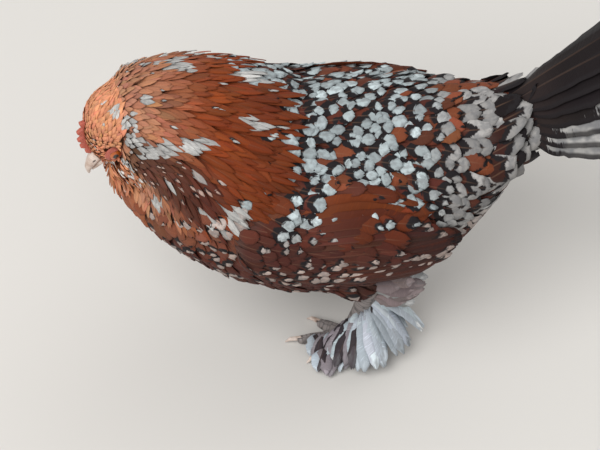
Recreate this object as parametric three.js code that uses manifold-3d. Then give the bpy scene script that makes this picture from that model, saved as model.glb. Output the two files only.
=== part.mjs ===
// A booted bantam hen at life size: a bearded, muffed head carried low on an arched neck, a short deep
// body, folded wings, a fanned tail, and feathered hocks, shanks and toes.
// Millimetres. +Z is up, the bird faces -Y, and its left side is +X.
// Every solid is the outer form of the plumage, or of the bare part, that it is named for.
import * as THREE from "three";
import { mergeVertices } from "three/addons/utils/BufferGeometryUtils.js";
import Module from "manifold-3d";

const wasm = await Module();
wasm.setup();

// ---------------------------------------------------------------- driving dimensions
const GAP = 0.35; // between neighbouring solids
const CUT = 0.5; // width of the thin cuts that part the body
const BLADE = 1.2; // thickness of a modelled feather

// The trunk and the hackle-covered neck: [y, z, half width, half height] of upright sections.
const TRUNK = [
  [-125, 108, 4, 4],
  [-121, 108, 13, 13],
  [-112, 108.5, 23.5, 24],
  [-100, 109, 35, 37],
  [-84, 106.5, 45, 47],
  [-55, 99.5, 53, 56],
  [-13, 93.5, 55, 60],
  [29, 100, 51, 55.5],
  [49, 108, 45, 48.5],
  [65, 118, 36.5, 40],
  [81, 132.5, 25.5, 28],
  [93, 143, 15.5, 16.5],
  [98, 148, 4, 4],
];
const NECK = [
  [-20, 100, 14, 14],
  [-26, 101, 50, 50],
  [-36, 102, 56, 57],
  [-55, 109, 55, 56],
  [-75, 120, 51, 52],
  [-92, 131, 42.5, 44.5],
  [-101, 137, 36.5, 39],
  [-109, 142.5, 31, 33],
  [-116, 147.5, 25, 27.5],
  [-122, 153, 15, 17],
  [-125.5, 155, 5, 6],
];
const TRUNK_STEPS = 15;
const NECK_STEPS = 11;
const BODY_SIDES = 16;

// The planes that part the body: a point of each and the way its front faces, in the Y-Z plane.
const NECK_CUT = { y: -70, z: 118, facing: 50 };
const RUMP_CUT = { y: 52, z: 108, facing: 155 };
const REACH = 400; // larger than the bird: the size of the blocks that cut

// The head, in its own frame: across, forward and up from the middle of the skull.
const HEAD = { x: 2.5, y: -116, z: 144.5, pitch: 52, turn: 20 };
// [forward, up, half width, half height] of the head's sections, from its back to the beak's root.
const SKULL = [
  [-23, 0, 3, 3],
  [-20, 1, 12, 13],
  [-12, 2, 18, 20.5],
  [-2, 2.5, 19, 22.5],
  [8, 2, 15, 19],
  [15, 0.5, 11.5, 14.5],
  [20, -1, 8, 9.5],
  [23, -2, 3, 3.5],
];
const HEAD_STEPS = 10;
const HEAD_SIDES = 12;
const EYE = { radius: 4.2, across: 12.4, forward: 10, up: 4.5 };
const BEAK = {
  wide: 5.4,
  root: 16,
  upper: { tip: 36.5, high: 4.4, lift: 2.2, drop: 5.5 },
  lower: { tip: 33.8, high: 3.4, lift: -2.3, drop: 1.2 },
};
const COMB = { from: 0.93, to: 0.5, height: 4.5, thick: 2.4, points: 5, sunk: 3 }; // shares of the skull
const MUFF = { across: 14.5, forward: 7, up: -11.5, wide: 12.5, long: 15.5, high: 13 };
const BEARD = { across: 0, forward: 20, up: -17, wide: 15, long: 13.5, high: 13 };

// The folded wing, seen from the side: its upper and lower edges [y, z].
const WING_TOP = [[-62, 118], [-52, 130], [-25, 138], [16, 138], [42, 125], [61, 107]];
const WING_BOTTOM = [[-62, 108], [-52, 88], [-20, 77], [18, 77], [43, 82], [61, 98]];
const WING_THICK = [10, 4.5]; // at the shoulder and at the tip
const WING_EDGE = 0.42; // how far its edges stand out from the body, in its thickness
// Behind the first y, the folded quills leave the trunk and run straight to the tip: [y, out from the middle].
const WING_QUILLS = [[12, 54], [61, 42.5]];
const WING_ARCH = { z: 98, high: 64 };
const WING_STEPS = 10;
const WING_ROWS = 6;
const WING_CUTS = [
  { y: -8, z: 104, facing: 152 },
  { y: 33, z: 100, facing: 142 },
];

// The tail fan: half of its feathers on each side.
const TAIL = {
  perSide: 7,
  y: 78,
  z: 147,
  rise: 46, // degrees above level of the middle feathers
  roof: 15, // how far each half of the fan slopes down
  fan: 4.1, // degrees between neighbours
  first: 2.4,
  length: 95,
  halfWidth: 9.5,
  stack: 2.3, // between neighbours, through the fan
  droop: 5,
  rootStep: 1.5,
};

// Legs.
const HIP = { x: 27, y: -24, z: 84 };
const HOCK = { x: 29.5, y: 12.5, z: 46 };
const FOOT = { x: 29, y: 2, z: 6 };
const STRIDE = 14; // the right foot is this far ahead of the left
const THIGH_WIDTHS = [19, 20, 15, 10.5];
const SHANK_RADIUS = 4.6;
const ANKLE = { radius: 6.4, height: 5.4 };
const TOES = [
  { name: "inner", turn: -30, length: 20 },
  { name: "middle", turn: 4, length: 28 },
  { name: "outer", turn: 36, length: 22 },
  { name: "hind", turn: 172, length: 14 },
];
const TOE_RADIUS = 3.6;
const TOE_SIDES = 6;
const CLAW = { length: 7, radius: 1.7, lift: 3.8, droop: 2.6, root: -2.5 };

// The foot's feathers: a fan down the outer side of the shank, from behind to in front.
const BOOT = {
  blades: 6,
  turn: [96, -58], // degrees from straight out, backwards positive
  rootZ: [40, 22],
  reach: [43, 21],
  tipZ: [10, 2.2],
  arch: [9, 4.5],
  halfWidth: [6.5, 5],
  pad: 3.4,
};
const HOCK_FEATHERS = { blades: 3, y: 49, x: 4, rootZ: [8, 1], tipZ: [64, 36], halfWidth: 6 };

// ---------------------------------------------------------------- small helpers
const V = (x, y, z) => new THREE.Vector3(x, y, z);
const rad = THREE.MathUtils.degToRad;
const lerp = THREE.MathUtils.lerp;
const between = ([from, to], t) => lerp(from, to, t);
const range = (count) => Array.from({ length: count }, (_, i) => i);

// A solid from points and triangles, turned to face out.
function solidOf(points, faces) {
  const build = (triangles) =>
    new wasm.Manifold(
      new wasm.Mesh({
        numProp: 3,
        vertProperties: new Float32Array(points.flatMap((p) => [p.x, p.y, p.z])),
        triVerts: new Uint32Array(triangles.flat()),
      }),
    );
  const made = build(faces);
  return made.volume() >= 0 ? made : build(faces.map(([a, b, c]) => [a, c, b]));
}

// A three.js geometry as a solid, placed by a matrix.
function solidFrom(geometry, matrix) {
  const bare = geometry.clone();
  bare.deleteAttribute("normal");
  bare.deleteAttribute("uv");
  const merged = mergeVertices(bare, 1e-4);
  const at = merged.getAttribute("position");
  const points = range(at.count).map((i) => new THREE.Vector3().fromBufferAttribute(at, i).applyMatrix4(matrix));
  const faces = range(merged.index.count / 3).map((i) => [0, 1, 2].map((k) => merged.index.getX(3 * i + k)));
  return solidOf(
    points,
    faces.filter(([a, b, c]) => a !== b && b !== c && c !== a),
  );
}

// A closed solid through a row of rings of as many points each; its ends close on their middles.
function solidThrough(rings) {
  const n = rings[0].length;
  const points = rings.flat();
  const faces = [];
  for (const r of range(rings.length - 1))
    for (const k of range(n)) {
      const a = r * n + k;
      const b = r * n + ((k + 1) % n);
      faces.push([a, b, b + n], [a, b + n, a + n]);
    }
  const lastRing = points.length - n;
  for (const [ring, first, turned] of [
    [rings[0], 0, true],
    [rings.at(-1), lastRing, false],
  ]) {
    const middle = points.length;
    points.push(ring.reduce((sum, p) => sum.add(p), V(0, 0, 0)).divideScalar(n));
    for (const k of range(n)) {
      const a = first + k;
      const b = first + ((k + 1) % n);
      faces.push(turned ? [b, a, middle] : [a, b, middle]);
    }
  }
  return solidOf(points, faces);
}

// One ring: an ellipse in the plane of two directions.
function ringAt(centre, across, up, halfWidth, halfHeight, sides) {
  return range(sides).map((k) => {
    const turn = (2 * Math.PI * k) / sides;
    return centre
      .clone()
      .addScaledVector(across, halfWidth * Math.cos(turn))
      .addScaledVector(up, halfHeight * Math.sin(turn));
  });
}

// A smooth table: the four columns of [along, up, half width, half height] at t from 0 to 1.
function tableOf(stations) {
  const places = new THREE.SplineCurve(stations.map(([along, up]) => new THREE.Vector2(along, up)));
  const sizes = new THREE.SplineCurve(stations.map(([, , w, h]) => new THREE.Vector2(w, h)));
  return (t) => {
    const [place, size] = [places.getPoint(t), sizes.getPoint(t)];
    return { along: place.x, up: place.y, wide: Math.max(size.x, 1), high: Math.max(size.y, 1) };
  };
}

// A loft of sections square to its length, in the frame of a matrix: x across, y along, z up.
function lengthwiseLoft(stations, steps, sides, matrix, grow) {
  const table = tableOf(stations);
  const [first, last] = [stations[0][0], stations.at(-1)[0]];
  const middle = (first + last) / 2;
  const stretch = 1 + (2 * grow) / Math.abs(last - first);
  const rings = range(steps + 1).map((i) => {
    const s = table(i / steps);
    const centre = V(0, middle + (s.along - middle) * stretch, s.up);
    const ring = ringAt(centre, V(1, 0, 0), V(0, 0, 1), s.wide + grow, s.high + grow, sides);
    return ring.map((p) => p.applyMatrix4(matrix));
  });
  return solidThrough(rings);
}

// A loft along a curved path, with elliptical sections square to it. side is the way their width points.
function pathLoft(path, sizes, side, { steps = 8, sides = 8, grow = 0 } = {}) {
  const curve = new THREE.CatmullRomCurve3(path);
  const size = new THREE.SplineCurve(sizes.map(([w, h]) => new THREE.Vector2(w, h)));
  const rings = range(steps + 1).map((i) => {
    const t = i / steps;
    const along = curve.getTangent(t);
    const across = side.clone().addScaledVector(along, -side.dot(along)).normalize();
    const s = size.getPoint(t);
    const end = (i === steps ? grow : 0) - (i === 0 ? grow : 0);
    const centre = curve.getPoint(t).addScaledVector(along, end);
    return ringAt(centre, across, along.clone().cross(across), s.x + grow, s.y + grow, sides);
  });
  return solidThrough(rings);
}

// An ellipsoid of the given half sizes.
function ellipsoid(x, y, z, matrix, columns = 16, rows = 10) {
  return solidFrom(new THREE.SphereGeometry(1, columns, rows), matrix.clone().scale(V(x, y, z)));
}

const joined = (solids) => solids.reduce((sum, solid) => sum.add(solid));

// What is left of a solid once others are cut away: its largest piece, because a cut can leave crumbs.
function cutBack(solid, cutters) {
  const pieces = cutters.reduce((left, cutter) => left.subtract(cutter), solid).decompose();
  return pieces.reduce((best, piece) => (piece.volume() > best.volume() ? piece : best));
}

// Everything on the front side of a plane, as a large block.
function blockBeyond(point, way) {
  const turn = new THREE.Quaternion().setFromUnitVectors(V(0, 0, 1), way);
  const centre = point.clone().addScaledVector(way, REACH / 2);
  const matrix = new THREE.Matrix4().compose(centre, turn, V(1, 1, 1));
  return solidFrom(new THREE.BoxGeometry(REACH, REACH, REACH), matrix);
}

// The parts of a solid in front of a plane and behind it, a thin cut apart.
function partedAt(solid, { y, z, facing }) {
  const way = V(0, -Math.cos(rad(facing)), Math.sin(rad(facing)));
  return [way, way.clone().negate()].map((front) => {
    const start = V(0, y, z).addScaledVector(front, CUT / 2);
    return solid.intersect(blockBeyond(start, front));
  });
}

// ---------------------------------------------------------------- head
const headMatrix = new THREE.Matrix4()
  .makeTranslation(HEAD.x, HEAD.y, HEAD.z)
  .multiply(new THREE.Matrix4().makeRotationZ(rad(HEAD.turn)))
  .multiply(new THREE.Matrix4().makeRotationX(rad(HEAD.pitch)))
  .multiply(new THREE.Matrix4().makeScale(1, -1, 1));
const inHead = (across, forward, up) => V(across, forward, up).applyMatrix4(headMatrix);
const headLeft = inHead(1, 0, 0).sub(inHead(0, 0, 0));

const skull = (grow) => lengthwiseLoft(SKULL, HEAD_STEPS, HEAD_SIDES, headMatrix, grow);

// An ellipsoid placed in the head's frame.
function headBall({ across, forward, up, wide, long, high }, side, grow, columns = 12, rows = 7) {
  const place = new THREE.Matrix4().makeTranslation(side * across, forward, up);
  return ellipsoid(wide + grow, long + grow, high + grow, headMatrix.clone().multiply(place), columns, rows);
}

const eye = (side, grow) =>
  headBall({ ...EYE, wide: EYE.radius * 0.8, long: EYE.radius, high: EYE.radius }, side, grow, 10, 6);
const muff = (side) => headBall(MUFF, side, 0);
const beard = (grow) => headBall(BEARD, 0, grow);

// Half of the beak: the upper one arches over and hooks down at its tip, the lower one is straighter.
function mandible({ tip, high, lift, drop }, grow) {
  const path = [
    inHead(0, BEAK.root, lift),
    inHead(0, lerp(BEAK.root, tip, 0.5), lift - drop * 0.13),
    inHead(0, lerp(BEAK.root, tip, 0.8), lift - drop * 0.4),
    inHead(0, tip, lift - drop),
  ];
  const taper = [
    [1, 1],
    [0.74, 0.72],
    [0.42, 0.5],
    [0.12, 0.14],
  ];
  const sizes = taper.map(([w, h]) => [BEAK.wide * w, high * h]);
  return pathLoft(path, sizes, headLeft, { steps: 6, sides: 10, grow });
}

// The single comb: a thin plate that follows the crown, with a row of points along it.
function comb() {
  const skullTable = tableOf(SKULL);
  const crown = (share) => {
    const s = skullTable(lerp(COMB.from, COMB.to, share));
    return new THREE.Vector2(s.along, s.up + s.high);
  };
  const above = (share, height) => {
    const way = crown(share - 0.02).sub(crown(share + 0.02)).normalize();
    return crown(share).add(new THREE.Vector2(-way.y, way.x).multiplyScalar(height));
  };
  const tall = (share) => COMB.height * Math.sin(Math.PI * (0.2 + 0.62 * share));
  const outline = range(COMB.points).flatMap((i) => {
    const share = (i + 0.5) / COMB.points;
    const step = 0.5 / COMB.points;
    return [above(share - step, tall(share) * 0.4), above(share, tall(share)), above(share + 0.03, tall(share))];
  });
  const inner = range(COMB.points + 1).map((i) => above(1 - i / COMB.points, -COMB.sunk));
  const plate = new THREE.ExtrudeGeometry(new THREE.Shape([...outline, ...inner]), {
    depth: COMB.thick,
    bevelEnabled: false,
  });
  const upright = new THREE.Matrix4().makeBasis(V(0, 1, 0), V(0, 0, 1), V(1, 0, 0));
  upright.setPosition(-COMB.thick / 2, 0, 0);
  return solidFrom(plate, headMatrix.clone().multiply(upright));
}

// ---------------------------------------------------------------- body
const still = new THREE.Matrix4();
const trunk = (grow) => lengthwiseLoft(TRUNK, TRUNK_STEPS, BODY_SIDES, still, grow);
const neck = (grow) => lengthwiseLoft(NECK, NECK_STEPS, BODY_SIDES, still, grow);

// The trunk's section at a given y, found by halving.
function trunkAt(y) {
  const table = tableOf(TRUNK);
  let [low, high] = [0, 1];
  for (const _ of range(24)) {
    const middle = (low + high) / 2;
    if (table(middle).along < y) low = middle;
    else high = middle;
  }
  return table(low);
}

// ---------------------------------------------------------------- wings
// A folded wing hugs the trunk in front, and its quills run straight on where the trunk narrows.
function wing(side, grow) {
  const edge = (points) => new THREE.SplineCurve(points.map(([y, z]) => new THREE.Vector2(y, z)));
  const [top, bottom] = [edge(WING_TOP), edge(WING_BOTTOM)];
  const [[quillY, quillOut], [tipY, tipOut]] = WING_QUILLS;
  const rings = range(WING_STEPS + 1).map((i) => {
    const t = i / WING_STEPS;
    const [a, b] = [top.getPoint(t), bottom.getPoint(t)];
    const y = (a.x + b.x) / 2 + (i === WING_STEPS ? grow : 0) - (i === 0 ? grow : 0);
    const thick = between(WING_THICK, t) * Math.min(1, 0.45 + 3 * t);
    const section = trunkAt(y);
    const straight = lerp(quillOut, tipOut, (y - quillY) / (tipY - quillY));
    const loose = THREE.MathUtils.smoothstep(y, quillY - 25, quillY + 35);
    const wallAt = (z) => {
      const share = Math.min(0.98, Math.abs(z - section.up) / section.high);
      const snug = section.wide * Math.sqrt(1 - share ** 2);
      const free = straight * Math.sqrt(1 - ((z - WING_ARCH.z) / WING_ARCH.high) ** 2);
      return lerp(snug, Math.max(snug, free), loose);
    };
    const outer = [];
    const inner = [];
    for (const k of range(WING_ROWS + 1)) {
      const u = k / WING_ROWS;
      const z = lerp(b.y - grow, a.y + grow, u);
      const crown = 1 - (2 * u - 1) ** 4;
      const out = wallAt(z) + thick * (WING_EDGE + (0.86 - WING_EDGE) * crown);
      outer.push(V(side * (out + grow), y, z));
      inner.unshift(V(side * (out - thick * (0.35 + 0.9 * crown) - grow), y, z));
    }
    return [...outer, ...inner];
  });
  return solidThrough(rings);
}

// ---------------------------------------------------------------- tail
function tailFeather(side, k, grow) {
  const up = V(0, -Math.sin(rad(TAIL.rise)), Math.cos(rad(TAIL.rise)));
  const back = V(0, Math.cos(rad(TAIL.rise)), Math.sin(rad(TAIL.rise)));
  const roof = rad(TAIL.roof) * Math.min(1, k / 3);
  const aside = V(side * Math.cos(roof), 0, 0).addScaledVector(up, -Math.sin(roof));
  const turn = rad(TAIL.first + TAIL.fan * k);
  const along = back.clone().multiplyScalar(Math.cos(turn)).addScaledVector(aside, Math.sin(turn));
  const across = aside.clone().multiplyScalar(Math.cos(turn)).addScaledVector(back, -Math.sin(turn));
  const level = TAIL.stack * (2.5 - k - (side > 0 ? 0.5 : 0));
  const root = V(side * (2 + TAIL.rootStep * k), TAIL.y, TAIL.z).addScaledVector(up, level);
  const length = TAIL.length * (1 - 0.006 * k ** 2);
  const at = (share) =>
    root.clone().addScaledVector(along, length * share).addScaledVector(up, -TAIL.droop * share ** 2);
  const half = TAIL.halfWidth;
  const thin = BLADE / 2;
  const sizes = [
    [2, BLADE],
    [half * 0.85, thin],
    [half, thin],
    [half * 0.86, thin],
    [half * 0.3, thin],
  ];
  return pathLoft([0, 0.3, 0.6, 0.85, 1].map(at), sizes, across, { steps: 4, sides: 6, grow });
}

// ---------------------------------------------------------------- legs
// A point of one leg; the right leg is a stride ahead, in full at its foot.
const ofLeg = (side, { x, y, z }, share = 1) => V(side * x, y - (side < 0 ? STRIDE * share : 0), z);
const hipOf = (side) => ofLeg(side, HIP, 0.3);
const hockOf = (side) => ofLeg(side, HOCK, 0.8);
const footOf = (side) => ofLeg(side, FOOT);
const outward = V(1, 0, 0);
const upward = V(0, 0, 1);

function thigh(side, grow) {
  const [hip, hock] = [hipOf(side), hockOf(side)];
  const path = [0, 0.45, 0.8, 1].map((share) => hip.clone().lerp(hock, share));
  const sizes = THIGH_WIDTHS.map((w) => [w * 0.8, w]);
  return pathLoft(path, sizes, outward, { steps: 5, sides: 12, grow });
}

function shank(side, radius, grow) {
  const [top, bottom] = [hockOf(side), footOf(side)];
  const path = [top, top.clone().lerp(bottom, 0.5), bottom];
  const sizes = [radius + 1.4, radius, radius + 1].map((r) => [r, r]);
  return pathLoft(path, sizes, outward, { steps: 2, sides: 8, grow });
}

const wayOf = (side, toe) => V(side * Math.sin(rad(toe.turn)), -Math.cos(rad(toe.turn)), 0);

// A point of a toe's line, so far out from the ankle and so high.
const onToe = (side, spec, out, z) => footOf(side).setZ(z).addScaledVector(wayOf(side, spec), out);

function toe(side, spec, grow) {
  const line = [
    [0, 4.4],
    [0.35, 3.1],
    [0.7, 2.7],
    [1, 2.1],
  ];
  const path = line.map(([share, z]) => onToe(side, spec, spec.length * share, z));
  const widths = [1.2, 1, 0.9, 0.65].map((share) => [TOE_RADIUS * share, TOE_RADIUS * share]);
  const sideways = upward.clone().cross(wayOf(side, spec));
  return pathLoft(path, widths, sideways, { steps: 3, sides: TOE_SIDES, grow });
}

// The ankle and its toes, whose pads are flat where they stand on the floor.
function foot(side, grow) {
  const place = new THREE.Matrix4().setPosition(footOf(side));
  const ankle = ellipsoid(ANKLE.radius + grow, ANKLE.radius + grow, ANKLE.height + grow, place, 8, 5);
  return joined([ankle, ...TOES.map((spec) => toe(side, spec, grow))]);
}

function claw(side, spec) {
  const line = [
    [CLAW.root, CLAW.lift - 0.2],
    [CLAW.length * 0.35, CLAW.lift + 0.1],
    [CLAW.length * 0.75, CLAW.lift - CLAW.droop * 0.4],
    [CLAW.length, CLAW.lift - CLAW.droop],
  ];
  const path = line.map(([past, z]) => onToe(side, spec, spec.length + past, z));
  const sizes = [0.95, 0.9, 0.55, 0.2].map((share) => [CLAW.radius * share, CLAW.radius * share]);
  return pathLoft(path, sizes, upward.clone().cross(wayOf(side, spec)), { steps: 2, sides: 6 });
}

// ---------------------------------------------------------------- feathers of the hock and foot
function bootBlade(side, i) {
  const t = i / (BOOT.blades - 1);
  const eased = t ** 0.6;
  const [hock, ankle] = [hockOf(side), footOf(side)];
  const turn = rad(between(BOOT.turn, t));
  const way = V(side * Math.cos(turn), Math.sin(turn), 0);
  const share = (between(BOOT.rootZ, t) - ankle.z) / (hock.z - ankle.z);
  const root = ankle.clone().lerp(hock, share).addScaledVector(outward, side * SHANK_RADIUS);
  const tip = ankle.setZ(between(BOOT.tipZ, t)).addScaledVector(way, between(BOOT.reach, eased));
  const middle = root.clone().lerp(tip, 0.5).addScaledVector(upward, between(BOOT.arch, t));
  const half = between(BOOT.halfWidth, t);
  const sizes = [
    [half * 0.5, BLADE * 0.8],
    [half, BLADE * 0.5],
    [half * 0.35, BLADE * 0.5],
  ];
  return pathLoft([root, middle, tip], sizes, upward.clone().cross(way), { steps: 2, sides: 6 });
}

// The blades grow out of a feathered pad down the outer side of the shank.
function boot(side) {
  const out = V(side * (SHANK_RADIUS + 1), 0, 0);
  const path = [0.05, 0.5, 0.9].map((share) => hockOf(side).lerp(footOf(side), share).add(out));
  const sizes = path.map(() => [BOOT.pad, BOOT.pad * 1.6]);
  const pad = pathLoft(path, sizes, outward, { steps: 2, sides: 8 });
  return joined([pad, ...range(BOOT.blades).map((i) => bootBlade(side, i))]);
}

// The stiff feathers that point back from the hock, out of a downy knot.
function hockFeathers(side, grow) {
  const hock = hockOf(side);
  const blades = range(HOCK_FEATHERS.blades).map((i) => {
    const t = i / (HOCK_FEATHERS.blades - 1);
    const root = hock.clone().add(V(0, -4, between(HOCK_FEATHERS.rootZ, t)));
    const tip = V(hock.x + side * HOCK_FEATHERS.x, HOCK_FEATHERS.y - 8 * t, between(HOCK_FEATHERS.tipZ, t));
    const middle = root.clone().lerp(tip, 0.5).add(V(side * 3, 0, 2));
    const half = HOCK_FEATHERS.halfWidth;
    const sizes = [
      [half * 0.6, BLADE * 0.8],
      [half, BLADE * 0.6],
      [half * 0.4, BLADE * 0.5],
    ];
    return pathLoft([root, middle, tip], sizes, V(-side * 0.7, 0.3, 0.8), { steps: 2, sides: 6, grow });
  });
  const place = new THREE.Matrix4().setPosition(hock.add(V(0, -1, 4)));
  const knot = ellipsoid(7 + grow, 9 + grow, 8 + grow, place, 10, 5);
  return joined([knot, ...blades]);
}

// ---------------------------------------------------------------- the whole bird
const LOOKS = {
  plumage: { color: 0x8a4a2a, roughness: 0.75, metalness: 0 },
  hackle: { color: 0xb0602c, roughness: 0.7, metalness: 0 },
  quill: { color: 0x5a3324, roughness: 0.6, metalness: 0 },
  tail: { color: 0x2a2220, roughness: 0.5, metalness: 0 },
  boot: { color: 0xc9c6c2, roughness: 0.8, metalness: 0 },
  horn: { color: 0xcfc0b4, roughness: 0.4, metalness: 0 },
  comb: { color: 0xc04a3c, roughness: 0.55, metalness: 0 },
  eye: { color: 0xb5541c, roughness: 0.1, metalness: 0 },
  leg: { color: 0x8f8a86, roughness: 0.6, metalness: 0 },
};
const bird = new THREE.Group();

function addNode(name, solid, look) {
  const mesh = solid.getMesh();
  const geometry = new THREE.BufferGeometry();
  geometry.setAttribute("position", new THREE.BufferAttribute(new Float32Array(mesh.vertProperties), 3));
  geometry.setIndex(new THREE.BufferAttribute(new Uint32Array(mesh.triVerts), 1));
  geometry.computeVertexNormals();
  const node = new THREE.Mesh(geometry, new THREE.MeshStandardMaterial(LOOKS[look]));
  node.name = name;
  bird.add(node);
}

const bothSides = Object.entries({ left: 1, right: -1 });
const grownEyes = bothSides.map(([, side]) => eye(side, GAP));
const grownSkull = skull(GAP);
const grownBody = joined([trunk(GAP), neck(GAP), grownSkull]);
const grownBeaks = [mandible(BEAK.upper, GAP), mandible(BEAK.lower, GAP)];

// Head and face: each piece is cut back by what it sits against.
addNode("head", cutBack(skull(0), grownEyes), "plumage");
addNode("beak_upper", cutBack(mandible(BEAK.upper, 0), [grownSkull]), "horn");
addNode("beak_lower", cutBack(mandible(BEAK.lower, 0), [grownSkull, grownBeaks[0]]), "horn");
addNode("comb", cutBack(comb(), [grownSkull, ...grownBeaks]), "comb");
addNode("beard", cutBack(beard(0), [grownBody, ...grownBeaks]), "plumage");
for (const [name, side] of bothSides) {
  addNode(`eye_${name}`, eye(side, 0), "eye");
  addNode(`muff_${name}`, cutBack(muff(side), [grownBody, ...grownEyes, ...grownBeaks, beard(GAP)]), "plumage");
}

// Neck, trunk and rump are one form, parted by thin cuts.
const grownThighs = bothSides.map(([, side]) => thigh(side, GAP));
const [neckPart, rest] = partedAt(joined([trunk(0), neck(0)]), NECK_CUT);
const [rumpPart, trunkPart] = partedAt(rest, RUMP_CUT);
addNode("neck", cutBack(neckPart, [grownSkull, ...grownEyes]), "hackle");
addNode("trunk", cutBack(trunkPart, grownThighs), "plumage");
addNode("rump", cutBack(rumpPart, []), "plumage");

for (const [name, side] of bothSides) {
  const [behind, coverts] = partedAt(cutBack(wing(side, 0), [grownBody]), WING_CUTS[0]);
  const [primaries, secondaries] = partedAt(behind, WING_CUTS[1]);
  addNode(`wing_coverts_${name}`, cutBack(coverts, []), "plumage");
  addNode(`secondaries_${name}`, cutBack(secondaries, []), "quill");
  addNode(`primaries_${name}`, cutBack(primaries, []), "quill");

  const grownWing = wing(side, GAP);
  const grownThigh = thigh(side, GAP);
  const floor = blockBeyond(V(0, 0, 0), upward);
  addNode(`thigh_${name}`, cutBack(thigh(side, 0), [grownWing]), "plumage");
  addNode(`foot_${name}`, foot(side, 0).intersect(floor), "leg");
  addNode(`shank_${name}`, cutBack(shank(side, SHANK_RADIUS, 0), [grownThigh, grownBody, foot(side, GAP)]), "leg");
  for (const spec of TOES) addNode(`claw_${spec.name}_${name}`, cutBack(claw(side, spec), [foot(side, GAP)]), "horn");
  const legParts = [grownBody, grownThigh, grownWing, shank(side, SHANK_RADIUS, GAP)];
  addNode(`hock_feathers_${name}`, cutBack(hockFeathers(side, 0), legParts), "boot");
  legParts.push(hockFeathers(side, GAP), foot(side, GAP));
  addNode(`boot_feathers_${name}`, cutBack(boot(side), legParts), "boot");
}

// The tail's feathers grow out of the rump, and each is cut back by those laid before it.
const laid = [grownBody];
for (const k of range(TAIL.perSide))
  for (const [name, side] of bothSides) {
    addNode(`tail_${k + 1}_${name}`, cutBack(tailFeather(side, k, 0), laid), "tail");
    laid.push(tailFeather(side, k, GAP));
  }

// The bird stands on the floor, centred over the origin.
const box = new THREE.Box3().setFromObject(bird);
bird.position.set(-(box.min.x + box.max.x) / 2, -(box.min.y + box.max.y) / 2, 0);

export default new THREE.Group().add(bird);
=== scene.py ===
import math

import bpy
import numpy as np
from mathutils import Matrix, Vector
from mathutils.bvhtree import BVHTree
from mathutils.kdtree import KDTree


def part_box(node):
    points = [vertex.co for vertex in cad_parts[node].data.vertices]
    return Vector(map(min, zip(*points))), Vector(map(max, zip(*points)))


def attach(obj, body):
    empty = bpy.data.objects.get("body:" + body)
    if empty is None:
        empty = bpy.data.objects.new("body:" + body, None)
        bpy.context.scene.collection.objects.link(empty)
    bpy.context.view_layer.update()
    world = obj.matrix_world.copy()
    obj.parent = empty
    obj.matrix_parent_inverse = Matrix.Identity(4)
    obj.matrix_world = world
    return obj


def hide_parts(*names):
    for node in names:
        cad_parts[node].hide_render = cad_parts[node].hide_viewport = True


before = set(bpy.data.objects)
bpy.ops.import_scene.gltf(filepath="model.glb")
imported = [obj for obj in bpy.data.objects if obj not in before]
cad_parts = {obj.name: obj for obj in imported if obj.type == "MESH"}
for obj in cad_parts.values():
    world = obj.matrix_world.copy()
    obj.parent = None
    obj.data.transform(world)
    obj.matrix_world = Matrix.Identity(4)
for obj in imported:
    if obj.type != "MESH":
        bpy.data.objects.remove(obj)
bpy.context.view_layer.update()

bl_info = {
    "name": "Booted bantam hen",
    "version": (1, 0, 0),
    "blender": (4, 5, 0),
    "location": "3D View > Sidebar > Hen",
    "description": "Skin, feathers, face, feet and stage of a booted bantam hen",
    "category": "Add Mesh",
}

MM = 0.001
SIDES = {"left": 1, "right": -1}
TOE_NAMES = ("inner", "middle", "outer", "hind")


def linear(red, green, blue):
    """A colour written in 0-255 display steps, as the linear values that shaders take."""
    steps = [c / 255 for c in (red, green, blue)]
    return tuple(c / 12.92 if c <= 0.04045 else ((c + 0.055) / 1.055) ** 2.4 for c in steps)


# ------------------------------------------------------------------ what a user may change
def length_of(name, description, default):
    return bpy.props.FloatProperty(
        name=name, description=description, default=default, min=0, unit="LENGTH", subtype="DISTANCE"
    )


def colour_of(name, description, shade):
    return bpy.props.FloatVectorProperty(
        name=name, description=description, default=linear(*shade), size=3, min=0, max=1, subtype="COLOR"
    )


def power_of(name, description, default):
    return bpy.props.FloatProperty(name=name, description=description, default=default, min=0, unit="POWER")


class HenSizes(bpy.types.PropertyGroup):
    voxel: length_of("Skin cell", "Size of the cells that the skin is rebuilt from", 0.0013)
    coat_depth: length_of("Coat depth", "How far the skin lies under the feathers of the body", 0.005)
    hackle_depth: length_of("Hackle depth", "How far the skin lies under the neck's hackle", 0.0075)
    face_depth: length_of("Face depth", "How far the skin lies under the feathers of the face", 0.0024)
    back_spacing: length_of("Back spacing", "Distance between the feathers of the back", 0.0048)
    back_length: length_of("Back feather", "Length of a feather of the back", 0.02)
    hackle_spacing: length_of("Hackle spacing", "Distance between the feathers of the neck", 0.0026)
    hackle_length: length_of("Hackle feather", "Length of a feather of the lower neck", 0.036)
    face_spacing: length_of("Face spacing", "Distance between the feathers of the head", 0.0014)
    face_length: length_of("Face feather", "Length of a feather of the head", 0.0085)
    quill_width: length_of("Quill width", "Width of a wing quill's vane", 0.0125)
    tail_width: length_of("Tail width", "Width of a tail feather's vane", 0.0195)


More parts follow.
